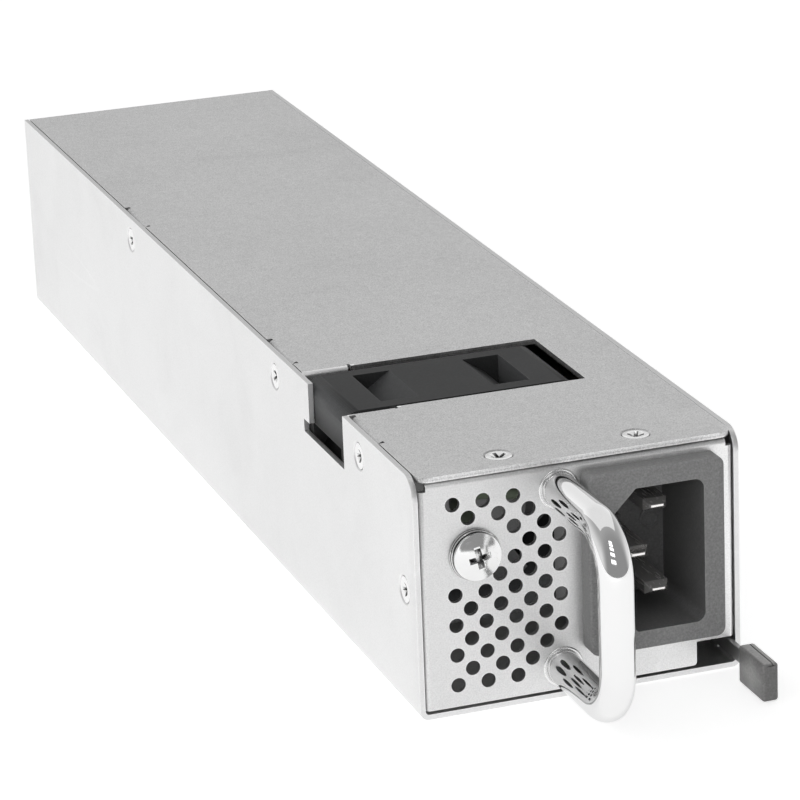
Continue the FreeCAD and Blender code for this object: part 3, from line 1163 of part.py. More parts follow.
def mains_side():
    y = station("fuse")
    x0 = f"(-{BOARD_HALF} + fuse_inset)"
    z = f"({SEAT} + clip_height)"
    glass = rod("fuse_radius - 0.15", "fuse_length - 2*fuse_cap", f"{x0} + fuse_cap", y, z, "X")
    caps = [rod("fuse_radius", "fuse_cap - 0.02", f"{x0} + {k}*(fuse_length - fuse_cap + 0.02)", y, z, "X") for k in (0, 1)]
    node("fuse_tube", glass)
    node("fuse_caps", group(*caps))
    clips = []
    for k in (0, 1):
        clip_x = f"({x0} + fuse_cap/2 - clip_width/2 + {k}*(fuse_length - fuse_cap))"
        clips.append(block(clip_x, f"{y} - fuse_radius - clip_wall", SEAT,
                           f"{clip_x} + clip_width", f"{y} + fuse_radius + clip_wall", f"{z} + fuse_radius/2"))
    bores = [rod("fuse_radius + 0.02", "fuse_length", x0, y, z, "X"),
             block(x0, f"{y} - clip_mouth/2", z, f"{x0} + fuse_length", f"{y} + clip_mouth/2", f"{z} + fuse_radius")]
    node("fuse_clips", group(*[cut(clip, joined(*bores)) for clip in clips]))
    films = []
    for name in ("first_film", "second_film"):
        y = station(name)
        films.append(block("-film_cap_width/2", f"{y} - film_cap_depth/2", SEAT, "film_cap_width/2", f"{y} + film_cap_depth/2", f"{SEAT} + film_cap_height"))
    node("film_capacitors", group(*films))
    y = station("first_film")
    lift = f"{SEAT} + disc_radius + disc_rise"
    discs = [rod("disc_radius", "disc_thickness", f"{side}disc_offset - disc_thickness/2", y, lift, "X") for side in ("-", "")]
    legs = [rod("leg_radius", "disc_rise + 0.4", f"{side}disc_offset", y, SEAT) for side in ("-", "")]
    node("disc_capacitors", group(*[joined(a, b) for a, b in zip(discs, legs)]))
    y = station("line_choke")
    upright = Rotation(Vector(1, 0, 0), 90)
    z = f"({SEAT} + line_choke_radius + line_choke_tube + winding_build)"
    choke("line_choke", "line_choke_radius", "line_choke_tube", "0", y, z, upright)
    y = station("boost_choke")
    z = f"({SEAT} + boost_choke_tube + winding_build)"
    choke("boost_choke", "boost_choke_radius", "boost_choke_tube", "(-boost_choke_x)", y, z, Rotation())


def choke(name, radius, tube, x, y, z, rotation):
    """A ring core with two windings wrapped round it."""
    core = ring(radius, tube, x, y, z, rotation)
    node(f"{name}_core", core)
    coils = []
    for start in (15, 195):
        turned = rotation * Rotation(Vector(0, 0, 1), start)
        coils.append(cut(ring(radius, f"{tube} + winding_build", x, y, z, turned, 150), ring(radius, f"{tube} + 0.02", x, y, z, rotation)))
    node(f"{name}_winding", group(*coils))


def package(face, y):
    """A flat power package standing against a heat sink, whose face is at +X of it."""
    low = f"({face} - package_thickness)"
    case = block(low, f"{y} - package_width/2", f"{SEAT} + package_lift", face, f"{y} + package_width/2", f"{SEAT} + package_lift + package_height")
    mid = f"({face} - package_thickness/2)"
    legs = [block(f"{mid} - leg_thickness/2", f"{y} + {k}*leg_pitch - leg_width/2", SEAT,
                  f"{mid} + leg_thickness/2", f"{y} + {k}*leg_pitch + leg_width/2", f"{SEAT} + package_lift") for k in (-1, 0, 1)]
    return joined(case, *legs)


def power_stage():
    sink_x = f"({BOARD_HALF} - primary_sink_inset)"
    start = f"({station('boost_choke')} - sink_lead)"
    end = f"({start} + primary_sink_length)"
    plate = block(sink_x, start, SEAT, f"{sink_x} + sink_thickness", end, f"{SEAT} + sink_height")
    grooves = []
    for k in range(int((size("sink_height") - size("sink_groove_pitch")) / size("sink_groove_pitch"))):
        low = f"({SEAT} + {k + 1}*sink_groove_pitch - sink_groove/2)"
        grooves.append(block(f"{sink_x} + sink_thickness/2", f"{start} - 1", low,
                             f"{sink_x} + sink_thickness + 1", f"{end} + 1", f"{low} + sink_groove"))
    node("primary_heat_sink", cut(plate, *grooves))
    face = f"({sink_x} - solder_gap)"
    bridge_y = f"({start} + bridge_width/2)"
    first = f"({bridge_y} + bridge_width/2 + package_spacing/2 + 1)"
    node("primary_transistors", group(*[package(face, f"({first} + {k}*package_spacing)") for k in range(3)]))
    body = block(f"{face} - bridge_thickness", f"{bridge_y} - bridge_width/2", f"{SEAT} + bridge_lift",
                 face, f"{bridge_y} + bridge_width/2", f"{SEAT} + bridge_lift + bridge_height")
    mid = f"({face} - bridge_thickness/2)"
    legs = [block(f"{mid} - leg_width/2", f"{bridge_y} + ({k})*bridge_leg_pitch - leg_width/2", SEAT,
                  f"{mid} + leg_width/2", f"{bridge_y} + ({k})*bridge_leg_pitch + leg_width/2", f"{SEAT} + bridge_lift")
            for k in (-1.5, -0.5, 0.5, 1.5)]
    node("bridge_rectifier", joined(body, *legs))
    x, y = f"(-{BOARD_HALF} + bulk_radius + bulk_inset)", station("bulk")
    can = rod("bulk_radius", "bulk_length", x, f"{y} - bulk_length/2", f"{SEAT} + bulk_radius", "Y")
    node("bulk_capacitor", can)
    transformer()
    outputs()


def transformer():
    y = station("transformer")
    half_w, half_d = "transformer_width/2", "transformer_depth/2"
    low, high = f"({SEAT} + transformer_lift)", f"({SEAT} + transformer_height)"
    front, back = f"({y} - {half_d})", f"({y} + {half_d})"
    whole = block(f"-{half_w}", f"{front} + transformer_overhang", low, half_w, f"{back} - transformer_overhang", high)
    floor, roof = f"({low} + transformer_leg)", f"({high} - transformer_leg)"
    inside = f"({half_w} - transformer_leg)"
    windows = [block(f"-{inside}", front, floor, "-transformer_post", back, roof),
               block("transformer_post", front, floor, inside, back, roof)]
    node("transformer_core", cut(whole, *windows))
    play = "transformer_play"
    coil = block(f"-({inside} - {play})", front, f"{floor} + {play}", f"{inside} - {play}", back, f"{roof} - {play}")
    post = block(f"-transformer_post - {play}", f"{front} + transformer_overhang - {play}", low,
                 f"transformer_post + {play}", f"{back} - transformer_overhang + {play}", high)
    depth = f"(transformer_overhang - 2*{play})"
    feet = [block(f"-{inside}", y0, SEAT, inside, f"{y0} + {depth}", f"{floor} + 1") for y0 in (front, f"({back} - {depth})")]
    node("transformer_winding", joined(cut(coil, post), *feet))


def outputs():
    y = station("output_sink")
    plate = block("-output_sink_width/2", f"{y} - sink_thickness/2", SEAT, "output_sink_width/2", f"{y} + sink_thickness/2", f"{SEAT} + sink_height")
    node("output_heat_sink", plate)
    packs = []
    for k in (-1.5, -0.5, 0.5, 1.5):
        x = f"({k}*rectifier_pitch)"
        face = f"({y} - sink_thickness/2 - solder_gap)"
        lift = f"({SEAT} + rectifier_lift)"
        case = block(f"{x} - rectifier_width/2", f"{face} - rectifier_thickness", lift,
                     f"{x} + rectifier_width/2", face, f"{lift} + rectifier_height")
        mid = f"({face} - rectifier_thickness/2)"
        leg = block(f"{x} - rectifier_tab/2", f"{mid} - leg_thickness/2", SEAT, f"{x} + rectifier_tab/2", f"{mid} + leg_thickness/2", lift)
        packs.append(joined(case, leg))
    node("output_transistors", group(*packs))
    y = station("output_caps")
    cans = [rod("output_cap_radius", "output_cap_height", f"-output_cap_x + {i}*output_cap_pitch", f"{y} + ({j})*output_cap_pitch", SEAT)
            for i in range(2) for j in (-0.5, 0.5)]
    node("output_capacitors", group(*cans))
    choke("output_choke", "output_choke_radius", "output_choke_tube", "output_choke_x", y,
          f"({SEAT} + output_choke_tube + winding_build)", Rotation())
    card_x = f"({BOARD_HALF} - card_inset - card_thickness)"
    card_y = f"({station('bulk')} + card_setback)"
    card = block(card_x, card_y, SEAT, f"{card_x} + card_thickness", f"{card_y} + card_length", f"{SEAT} + card_height")
    lift = f"({SEAT} + chip_lift)"
    chips = []
    for k in range(3):
        chip_y = f"({card_y} + {k}*chip_pitch + chip_size)"
        chips.append(block(f"{card_x} - chip_thickness", chip_y, lift, card_x, f"{chip_y} + chip_size", f"{lift} + chip_size"))
    node("control_card", joined(card, *chips))


# ---------------------------------------------------------------- leads
def lead(name, points):
    """A round lead along straight runs joined by tangent arcs."""
    edges = []
    here = points[0]
    for before, corner, after in zip(points, points[1:], points[2:]):
        back, ahead = before - corner, after - corner
        turn = math.pi - back.getAngle(ahead)
        reach = 0.45 * min(back.Length, ahead.Length)
        back.normalize()
        ahead.normalize()
        start, end = corner + back * reach, corner + ahead * reach
        radius = reach / math.tan(turn / 2)
        inward = (back + ahead).normalize()
        middle = corner + inward * (math.hypot(reach, radius) - radius)
        edges += [Part.makeLine(here, start), Part.Arc(start, middle, end).toShape()]
        here = end
    edges.append(Part.makeLine(here, points[-1]))
    path = Part.Wire(edges)
    heading = (points[1] - points[0]).normalize()
    section = Part.Wire(Part.makeCircle(size("lead_radius"), points[0], heading))
    tube = path.makePipeShell([section], True, True)
    expected = math.pi * size("lead_radius") ** 2 * path.Length
    if abs(tube.Volume - expected) > 0.02 * expected:
        raise ValueError(f"{name}: the tube doesn't follow its path")
    feature(name, tube)


def leads():
    front = -size("case_length") / 2
    left = -size("case_width") / 2
    socket_x = size("case_width") / 2 - size("inlet_inset") - size("socket_shift")
    inlet_end = front + size("front_recess") - size("rim_thickness") + size("socket_depth") + size("inlet_base")
    tail = inlet_end + size("pin_tail") + 0.02
    middle_z, pitch = size("case_height") / 2 + size("inlet_rise"), size("pin_pitch")
    lane = left + size("sheet") + size("fan_gap") + size("case_height") + size("lead_lane")
    fan_front = front + size("fan_setback")
    fan_back = fan_front + size("fan_depth")
    landing_y = front + size("board_setback") + size("lead_setback")
    seat = size("board_height") + size("board_thickness") + 0.02
    line_x = socket_x + size("pin_offset")
    for name, z, landing_x in (("live_lead", middle_z + pitch / 2, size("live_landing")), ("neutral_lead", middle_z - pitch / 2, size("neutral_landing"))):
        lead(name, [
            Vector(line_x, tail, z), Vector(line_x, tail + size("lead_leave"), z), Vector(lane, fan_front - 0.5, z),
            Vector(lane, fan_back + 2.5, z - 0.5), Vector(landing_x, landing_y, min(z, seat + size("lead_rise"))),
            Vector(landing_x, landing_y, seat),
        ])
    ground = Vector(left + size("ground_x"), front + size("front_recess") + size("sheet") + 0.01, size("case_height") - size("ground_drop"))
    ring_end = Part.makeCylinder(size("lug_radius"), size("lug_thickness"), ground, AY)
    thick, half = size("lug_thickness"), size("lug_tail_width") / 2
    bend_x = size("lug_radius") + size("lug_bend_gap")
    tongue = Part.makeBox(bend_x + thick - 3, thick, 2 * half, ground + Vector(3, 0, -half))
    tail_piece = Part.makeBox(thick, size("lug_tail"), 2 * half, ground + Vector(bend_x, 0, -half))
    rise, length = size("barrel_radius"), size("barrel_length")
    mouth = size("lug_tail") - 1
    barrel_x = bend_x + thick / 2
    barrel = Part.makeCylinder(rise, length, ground + Vector(barrel_x, mouth, 0), AY)
    socket = Part.makeCylinder(size("lead_radius") + 0.01, length - 0.5, ground + Vector(barrel_x, mouth + 0.5, 0), AY)
    hole = Part.makeCylinder(size("ground_thread") + size("thread_gap"), thick, ground, AY)
    feature("earth_lug", ring_end.fuse([tongue, tail_piece, barrel]).cut(socket.fuse(hole)).removeSplitter())
    earth_x = socket_x - size("pin_offset")
    start = ground + Vector(barrel_x, mouth + 0.52, 0)
    turn_y = tail + size("lead_setback")
    lead("earth_lead", [
        Vector(earth_x, tail, middle_z), Vector(earth_x, turn_y, middle_z),
        Vector(start.x, turn_y, start.z), start,
    ])


def check():
    """Stops if any object failed or any piece isn't a whole solid."""
    doc.recompute()
    for item in doc.Objects:
        if "Invalid" in item.State or "Error" in item.State:
            raise ValueError(f"{item.Name} ({item.Label}) failed")
    for piece in nodes:
        if piece.Shape.isNull() or not piece.Shape.isValid() or not piece.Shape.Solids:
            raise ValueError(f"{piece.Label} isn't a whole solid")


chassis()
cover()
front_plate()
case_screws()
handle()
ground_fixing()
inlet()
fan_frame()
impeller()
fan_bracket()
latch()
boards()
mains_side()
power_stage()
leads()
check()

os.makedirs("parts", exist_ok=True)
for piece in nodes:
    piece.Shape.exportStep(f"parts/{piece.Label}.step")
    print(f"{piece.Label:24s} solids {len(piece.Shape.Solids):3d}  volume {piece.Shape.Volume:10.1f}")
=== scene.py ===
"""The hot swap server power supply: finishes, detailed pieces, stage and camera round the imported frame."""

import json
import math

import bmesh
import bpy
from mathutils import Matrix, Vector


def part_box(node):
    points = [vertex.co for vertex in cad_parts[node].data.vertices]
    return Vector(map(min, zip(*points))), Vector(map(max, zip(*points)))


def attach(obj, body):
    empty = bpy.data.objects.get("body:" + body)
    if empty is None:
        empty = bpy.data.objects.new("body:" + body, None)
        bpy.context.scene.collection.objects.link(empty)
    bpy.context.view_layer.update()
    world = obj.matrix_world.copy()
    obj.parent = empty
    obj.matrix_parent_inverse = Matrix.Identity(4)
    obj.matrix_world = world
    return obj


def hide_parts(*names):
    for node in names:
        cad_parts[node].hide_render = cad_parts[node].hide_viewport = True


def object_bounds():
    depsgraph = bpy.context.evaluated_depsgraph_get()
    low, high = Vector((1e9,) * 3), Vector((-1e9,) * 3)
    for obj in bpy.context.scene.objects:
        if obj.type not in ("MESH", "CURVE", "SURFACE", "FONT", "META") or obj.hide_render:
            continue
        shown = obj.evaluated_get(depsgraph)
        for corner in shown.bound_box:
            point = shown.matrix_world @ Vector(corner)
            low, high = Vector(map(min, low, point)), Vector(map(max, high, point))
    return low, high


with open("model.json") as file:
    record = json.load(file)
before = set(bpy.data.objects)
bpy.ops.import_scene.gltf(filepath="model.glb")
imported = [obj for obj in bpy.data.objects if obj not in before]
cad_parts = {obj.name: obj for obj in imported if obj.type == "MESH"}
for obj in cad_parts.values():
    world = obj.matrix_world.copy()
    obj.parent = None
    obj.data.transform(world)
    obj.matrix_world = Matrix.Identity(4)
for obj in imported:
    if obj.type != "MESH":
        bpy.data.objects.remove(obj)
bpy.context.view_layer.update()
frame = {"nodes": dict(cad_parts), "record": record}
nodes = frame["nodes"]

MM = 0.001
# Points nearer to each other than this, in metres, are merged.
DOUBLES = 0.000002
# A turned piece's tip with this radius, in millimetres, counts as shut.
SHUT = 0.0005


def corners(node):
    """A node's lowest and highest corners at rest, in millimetres."""
    return [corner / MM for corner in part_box(node)]


# ---------------------------------------------------------------- places on the case, in millimetres

# heights above the case's underside
WALL_TOPS, COVER_EDGE = 38.0, 39.5
FRAME_SHOULDER, FRAME_FLANGE = 33.4, 36.4
# places along the case, its front at -122
WINDOW_FRONT, WINDOW_BACK = -87.7, -64.5
PLATE_BACK = -120.9
SOCKET_MOUTH, SOCKET_DIM, SOCKET_DARK, SOCKET_FLOOR = -125.3, -125.0, -110.0, -108.4
PIN_SHOULDER, PIN_TIP = -121.5, -122.5
# where the painted highlight bands along the window's edges end to the right, how far they lie from those
# edges, and half their thickness
WINDOW_LIP_END, WINDOW_LIP_SEAT, WINDOW_LIP_HALF = -17.0, 0.2, 0.34
# x and z of the socket's middle and of half its opening; y and z of the grip's pale patch
SOCKET_MIDDLE, SOCKET_HALF = (11.55, 22.3), (8.3, 12.1)
THUMB_PATCH = (-133.0, 3.3)

# ---------------------------------------------------------------- camera

CAMERA_PLACE = Vector((-0.20405, -0.64594, 0.24049))
CAMERA_TURN = math.radians(-18.522)
CAMERA_TILT = math.radians(18.721)
CAMERA_ROLL = math.radians(-2.3165)
CAMERA_LENS = 173.3


def make_camera():
    """The camera, from its place, its turn about the vertical, its tilt downwards and its roll."""
    back = Vector((
        math.sin(CAMERA_TURN) * math.cos(CAMERA_TILT),
        -math.cos(CAMERA_TURN) * math.cos(CAMERA_TILT),
        math.sin(CAMERA_TILT),
    ))
    level_right = (-back).cross(Vector((0, 0, 1))).normalized()
    level_up = level_right.cross(-back)
    right = math.cos(CAMERA_ROLL) * level_right + math.sin(CAMERA_ROLL) * level_up
    up = -math.sin(CAMERA_ROLL) * level_right + math.cos(CAMERA_ROLL) * level_up
    lens = bpy.data.cameras.new("studio_camera")
    lens.lens = CAMERA_LENS
    lens.sensor_width = 36
    lens.clip_start, lens.clip_end = 0.05, 50
    camera = bpy.data.objects.new("studio_camera", lens)
    bpy.context.scene.collection.objects.link(camera)
    turn = Matrix((right, up, back)).transposed().to_4x4()
    camera.matrix_world = Matrix.Translation(CAMERA_PLACE) @ turn
    bpy.context.scene.camera = camera


# ---------------------------------------------------------------- shader arithmetic


class Wire:
    """One output of a shader node; arithmetic on it adds Math nodes."""

    def __init__(self, finish, socket):
        self.finish, self.socket = finish, socket

    def math(self, operation, first, second=None, clip=False):
        values = {0: first} if second is None else {0: first, 1: second}
        settings = {"operation": operation, "use_clamp": clip}
        return self.finish.put("ShaderNodeMath", settings, values)

    def __add__(self, other):
        return self.math("ADD", self, other)

    def __radd__(self, other):
        return self.math("ADD", other, self)

    def __sub__(self, other):
        return self.math("SUBTRACT", self, other)

    def __rsub__(self, other):
        return self.math("SUBTRACT", other, self)

    def __mul__(self, other):
        return self.math("MULTIPLY", self, other)

    def __rmul__(self, other):
        return self.math("MULTIPLY", other, self)

    def __truediv__(self, other):
        return self.math("DIVIDE", self, other)

    def __rtruediv__(self, other):
        return self.math("DIVIDE", other, self)

    def __gt__(self, other):
        return self.math("GREATER_THAN", self, other)

    def __lt__(self, other):
        return self.math("LESS_THAN", self, other)

    def __abs__(self):
        return self.math("ABSOLUTE", self)

    def clip(self):
        return self.math("ADD", self, 0, clip=True)


class Finish:
    """One procedural material: a Principled shader and the nodes that feed it."""

    def __init__(self, name, **constants):
        self.material = bpy.data.materials.new(name)
        self.material.use_nodes = True
        self.tree = self.material.node_tree
        self.shader = next(n for n in self.tree.nodes if n.type == "BSDF_PRINCIPLED")
        self.constants(**constants)
        self.place = self.put("ShaderNodeTexCoord", output="Object")

    def constants(self, **constants):
        for name, value in constants.items():
            self.shader.inputs[name.replace("_", " ")].default_value = value

    def put(self, kind, settings=None, values=None, output=0):
        """A new node with its settings, then its sockets' values or links; gives back one output."""
        node = self.tree.nodes.new(kind)
        for name, value in (settings or {}).items():
            setattr(node, name, value)
        for name, value in (values or {}).items():
            if isinstance(value, Wire):
                self.tree.links.new(value.socket, node.inputs[name])
            else:
                node.inputs[name].default_value = value
        return Wire(self, node.outputs[output])

    def feed(self, **wires):
        """Links wires to the shader's sockets."""
        for name, wire in wires.items():
            self.tree.links.new(wire.socket, self.shader.inputs[name.replace("_", " ")])

    def stretched(self, stretch, turn=(0, 0, 0)):
        """The object's own coordinates, stretched and turned for a pattern."""
        values = {"Vector": self.place, "Scale": stretch, "Rotation": turn}
        return self.put("ShaderNodeMapping", None, values)

    def cloud(self, size, detail=2.0, rough=0.5, vector=None, warp=0.0):
        """Smooth random values round a half; size is one lump's width in metres."""
        values = {"Vector": vector or self.place, "Scale": 1 / size, "Detail": detail}
        values.update({"Roughness": rough, "Distortion": warp})
        return self.put("ShaderNodeTexNoise", None, values)

    def cells(self, size, vector=None):
        """The distance to the nearest of scattered points, which lie about a size apart."""
        values = {"Vector": vector or self.place, "Scale": 1 / size}
        return self.put("ShaderNodeTexVoronoi", {"feature": "F1"}, values, output="Distance")

    def contrast(self, value, low, high):
        """Nought below low, one above high."""
        settings = {"clamp": True}
        values = {"Value": value, "From Min": low, "From Max": high, "To Min": 0.0, "To Max": 1.0}
        return self.put("ShaderNodeMapRange", settings, values)

    def hairlines(self, size, stretch, turn, width):
        """Thin wandering lines, long in the direction whose stretch is small."""
        lumps = self.cloud(size, 1.0, 0.4, self.stretched(stretch, turn))
        return (1 - abs(lumps - 0.5) / width).clip()

    def mix(self, factor, low, high):
        settings = {"data_type": "RGBA"}
        return self.put("ShaderNodeMix", settings, {0: factor, 6: low, 7: high}, output=2)

    def shade(self, colour, brightness):
        """A colour made lighter or darker by a value."""
        settings = {"data_type": "RGBA", "blend_type": "MULTIPLY"}
        level = self.put("ShaderNodeCombineColor", None, {0: brightness, 1: brightness, 2: brightness})
        return self.put("ShaderNodeMix", settings, {0: 1.0, 6: colour, 7: level}, output=2)

    def relief(self, height, depth, strength):
        values = {"Height": height, "Distance": depth, "Strength": strength}
        return self.put("ShaderNodeBump", None, values)

    def axis(self, vector, name):
        return self.put("ShaderNodeSeparateXYZ", None, {0: vector}, output=name)

    def facing(self, name, low=0.85, high=0.97):
        """One on faces whose outward normal runs along an axis, such as -Y."""
        true = self.put("ShaderNodeNewGeometry", output="True Normal")
        along = self.axis(true, name[-1])
        return self.contrast(along * -1 if name[0] == "-" else along, low, high)

    def hollows(self, reach):
        """Nought down in recesses, one in the open."""
        return self.put("ShaderNodeAmbientOcclusion", {"samples": 8}, {"Distance": reach}, output="AO")

    def edges(self, radius):
        """One along outer and inner edges, nought on the flats."""
        soft = self.put("ShaderNodeBevel", {"samples": 4}, {"Radius": radius})
        true = self.put("ShaderNodeNewGeometry", output="Normal")
        settings = {"operation": "DOT_PRODUCT"}
        dot = self.put("ShaderNodeVectorMath", settings, {0: soft, 1: true}, output="Value")
        return ((1 - dot) * 6).clip()


def grey(value, warm=0.0):
    """A nearly neutral colour, a little warmer or cooler than grey."""
    return (value * (1 + warm), value, value * (1 - warm), 1)


# ---------------------------------------------------------------- metals


def cover_painted_edges(f):
    """Masks on the cover: painted highlight bands along the window's front and back edges, every edge that
    faces forward, and a painted shade line along the front edge.
    """
    x, y, z = (f.axis(f.place, name) for name in "XYZ")
    # painted highlight bands along the window's front and back edges, on the cover's left part
    front_lip_highlight = abs(y - (WINDOW_FRONT - WINDOW_LIP_SEAT) * MM) < WINDOW_LIP_HALF * MM
    back_lip_highlight = abs(y - (WINDOW_BACK + WINDOW_LIP_SEAT) * MM) < WINDOW_LIP_HALF * MM
    lip_highlights = (front_lip_highlight + back_lip_highlight) * (x < WINDOW_LIP_END * MM)
    forward = f.facing("-Y")
    # painted shade: a dark line along the middle of the forward-facing front edge, where the cover's edge
    # meets the layer under it
    seam_shade = f.contrast(abs(z - COVER_EDGE * MM), 0.16 * MM, 0.05 * MM) * forward
    return lip_highlights, (forward + lip_highlights).clip(), seam_shade


def sheet_metal(name, tone, rough, grain, top_shade_tone=None, cut_and_light_tone=None, right_painted_light=0.0):
    """Zinc plated sheet: a fine even grain, faint clouding, edges lighter, partly rubbed bare and partly a
    painted highlight, and a few handling marks.

    top_shade_tone is the tone of the walls' upper edges, darkened as painted shade; cut_and_light_tone is
    that of the cover's cut edges, partly bare steel and partly painted light; and right_painted_light is how
    much lighter the sheet grows towards its right side, as painted light.
    """
    f = Finish(name, Metallic=1.0)
    fine = f.cloud(0.00026, 1.0, 0.7)
    coarse = f.cloud(0.0011, 3.0, 0.65)
    clouding = f.cloud(0.028, 3.0, 0.55, warp=0.4)
    scratches = f.hairlines(0.02, (1, 0.06, 1), (0.3, 0.2, 0.5), 0.004)
    scratches = scratches * f.contrast(f.cloud(0.03), 0.56, 0.66)
    smudge = f.contrast(f.cloud(0.018, 4.0, 0.6, warp=0.8), 0.52, 0.72)
    edge = f.edges(0.00035)
    level = 1 + (fine - 0.5) * grain * 4 + (coarse - 0.5) * grain * 1.6 + (clouding - 0.5) * 0.10
    # the edges lighter: partly rubbed bare steel, partly a painted highlight
    level = level + edge * 0.12 + scratches * 0.03 - smudge * 0.02
    # painted light: the sheet lighter towards its right side
    if right_painted_light:
        level = level * (1 + f.contrast(f.axis(f.place, "X"), 0.0, 24 * MM) * right_painted_light)
    # painted shade: the walls' up-facing tops darker, like the case's top
    if top_shade_tone:
        upper_edge_shade = f.facing("+Z") * (f.axis(f.place, "Z") > WALL_TOPS * MM)
        level = level * (1 - upper_edge_shade * (1 - top_shade_tone / tone))
    if cut_and_light_tone:
        # the forward cut edges lighter, partly streaked bare steel and partly painted light; painted
        # highlight bands along the window; a painted shade line along the front edge
        streaks = f.cloud(0.0005, 2.0, 0.6, f.stretched((1, 1, 0.35)))
        lip_highlights, lit_cuts, seam_shade = cover_painted_edges(f)
        level = level + lit_cuts * (cut_and_light_tone / tone - 1 + (streaks - 0.5) * 0.5) - seam_shade * 0.22 + lip_highlights * 0.4
    f.feed(Base_Color=f.shade(grey(tone), level))
    f.feed(Roughness=(rough + (coarse - 0.5) * 0.18 + smudge * 0.05 - edge * 0.16 - scratches * 0.05).clip())
    f.feed(Normal=f.relief(fine * 0.4 + coarse * 0.6, 0.000012, 0.8))
    return f.material


def bright_metal(name, tone, rough, marks=0.1, recess=0.0, rim=0.0):
    """Polished or plated metal: nearly smooth, with fine turning lines and a light bloom.

    recess is the reach within which a hollow is darkened with painted shade, and rim is painted shade on what
    is seen edge on.
    """
    f = Finish(name, Metallic=1.0)
    bloom = f.cloud(0.004, 4.0, 0.6, warp=0.5)
    fine = f.cloud(0.0003, 2.0, 0.6)
    lines = f.hairlines(0.003, (1, 0.1, 1), (0.4, 0.9, 0.2), 0.01)
    level = 1 + (bloom - 0.5) * marks - lines * marks * 0.4 + (fine - 0.5) * marks * 0.3
    # painted shade: darker where the surface is seen edge on
    if rim:
        edge_on = f.put("ShaderNodeLayerWeight", None, {"Blend": 0.5}, output="Facing")
        level = level * (1 - f.contrast(edge_on, 0.5, 1.0) * rim)
    # painted shade in hollows, by ambient occlusion
    if recess:
        level = level * (f.contrast(f.hollows(recess), 0.4, 0.92) * 0.88 + 0.12)
    f.feed(Base_Color=f.shade(grey(tone), level))
    f.feed(Roughness=(rough + (bloom - 0.5) * 0.12 + lines * 0.06).clip())
    f.feed(Normal=f.relief(bloom, 0.000004, 0.5))
    return f.material


def coloured_metal(name, colour, dark, rough, size=0.0008):
    """Copper, gold or aluminium with darker tarnish lying in soft patches."""
    f = Finish(name, Metallic=1.0)
    patches = f.contrast(f.cloud(size * 4, 4.0, 0.6, warp=0.6), 0.45, 0.75)
    fine = f.cloud(size * 0.3, 2.0)
    f.feed(Base_Color=f.shade(f.mix(patches, colour, dark), 0.94 + fine * 0.12))
    f.feed(Roughness=(rough + patches * 0.18 + (fine - 0.5) * 0.1).clip())
    f.feed(Normal=f.relief(fine, 0.000006, 0.6))
    return f.material


# ---------------------------------------------------------------- plastics, ceramics and boards


def moulded(name, colour, rough, sparkle, shaded=None, shine=0.5):
    """Moulded plastic: a fine spark-eroded grain, slight clouding, and edges lighter, partly rubbed and
    partly a painted highlight.
    """
    f = Finish(name, IOR=1.5, Specular_IOR_Level=shine)
    fine = f.cloud(0.00035, 2.0, 0.7)
    clouding = f.cloud(0.009, 3.0, 0.5)
    specks = f.contrast(f.cells(0.000595), 0.0, 0.5)
    edge = f.edges(0.0004)
    level = 1 + (fine - 0.5) * sparkle * 2.4 + (clouding - 0.5) * 0.22 + (0.5 - specks) * sparkle * 0.5
    # the edges lighter: partly rubbed, partly a painted highlight
    level = level + edge * 0.25
    # shaded multiplies in a piece's painted light and shade
    if shaded:
        level = level * shaded(f)
    f.feed(Base_Color=f.shade(colour, level))
    f.feed(Roughness=(rough + (fine - 0.5) * 0.22 + (clouding - 0.5) * 0.08 - edge * 0.1).clip())
    f.feed(Normal=f.relief(fine * 0.7 + specks * 0.3, 0.000014, 0.9))
    return f.material


def lacquered(name, colour, dark, rough, coat=0.0):
    """Epoxy, varnish or ceramic glaze that pools darker in places."""
    f = Finish(name, IOR=1.52, Coat_Weight=coat, Coat_Roughness=0.15)
    pools = f.contrast(f.cloud(0.002, 3.0, 0.6, warp=0.7), 0.35, 0.7)
    fine = f.cloud(0.00024, 2.0)
    f.feed(Base_Color=f.shade(f.mix(pools, colour, dark), 0.9 + fine * 0.2))
    f.feed(Roughness=(rough + (pools - 0.5) * 0.15 + (fine - 0.5) * 0.1).clip())
    f.feed(Normal=f.relief(pools * 0.5 + fine * 0.5, 0.00002, 0.7))
    return f.material


def board_finish(name, mask, copper):
    """A circuit board: solder mask over etched tracks and a woven glass base."""
    f = Finish(name, IOR=1.5, Coat_Weight=0.3, Coat_Roughness=0.2)
    lines = f.put("ShaderNodeTexBrick", {"offset": 0.5}, {
        "Vector": f.place, "Scale": 160.0, "Mortar Size": 0.012,
        "Color1": grey(0), "Color2": grey(0.1), "Mortar": grey(1),
    })
    tracks = f.contrast(lines, 0.3, 0.7)
    weave = f.put("ShaderNodeTexWave", {"wave_type": "BANDS"}, {
        "Vector": f.place, "Scale": 700.0, "Distortion": 0.6,
    })
    pours = f.contrast(f.cells(0.004, f.stretched((1, 0.35, 1))), 0.28, 0.34)
    raised = (tracks + pours * 0.6).clip()
    f.feed(Base_Color=f.shade(f.mix(raised * 0.55, mask, copper), 0.94 + weave * 0.12))
    f.feed(Roughness=(0.42 - raised * 0.08 + (weave - 0.5) * 0.1).clip())
    f.feed(Normal=f.relief(raised * 0.8 + weave * 0.2, 0.00003, 0.8))
    return f.material


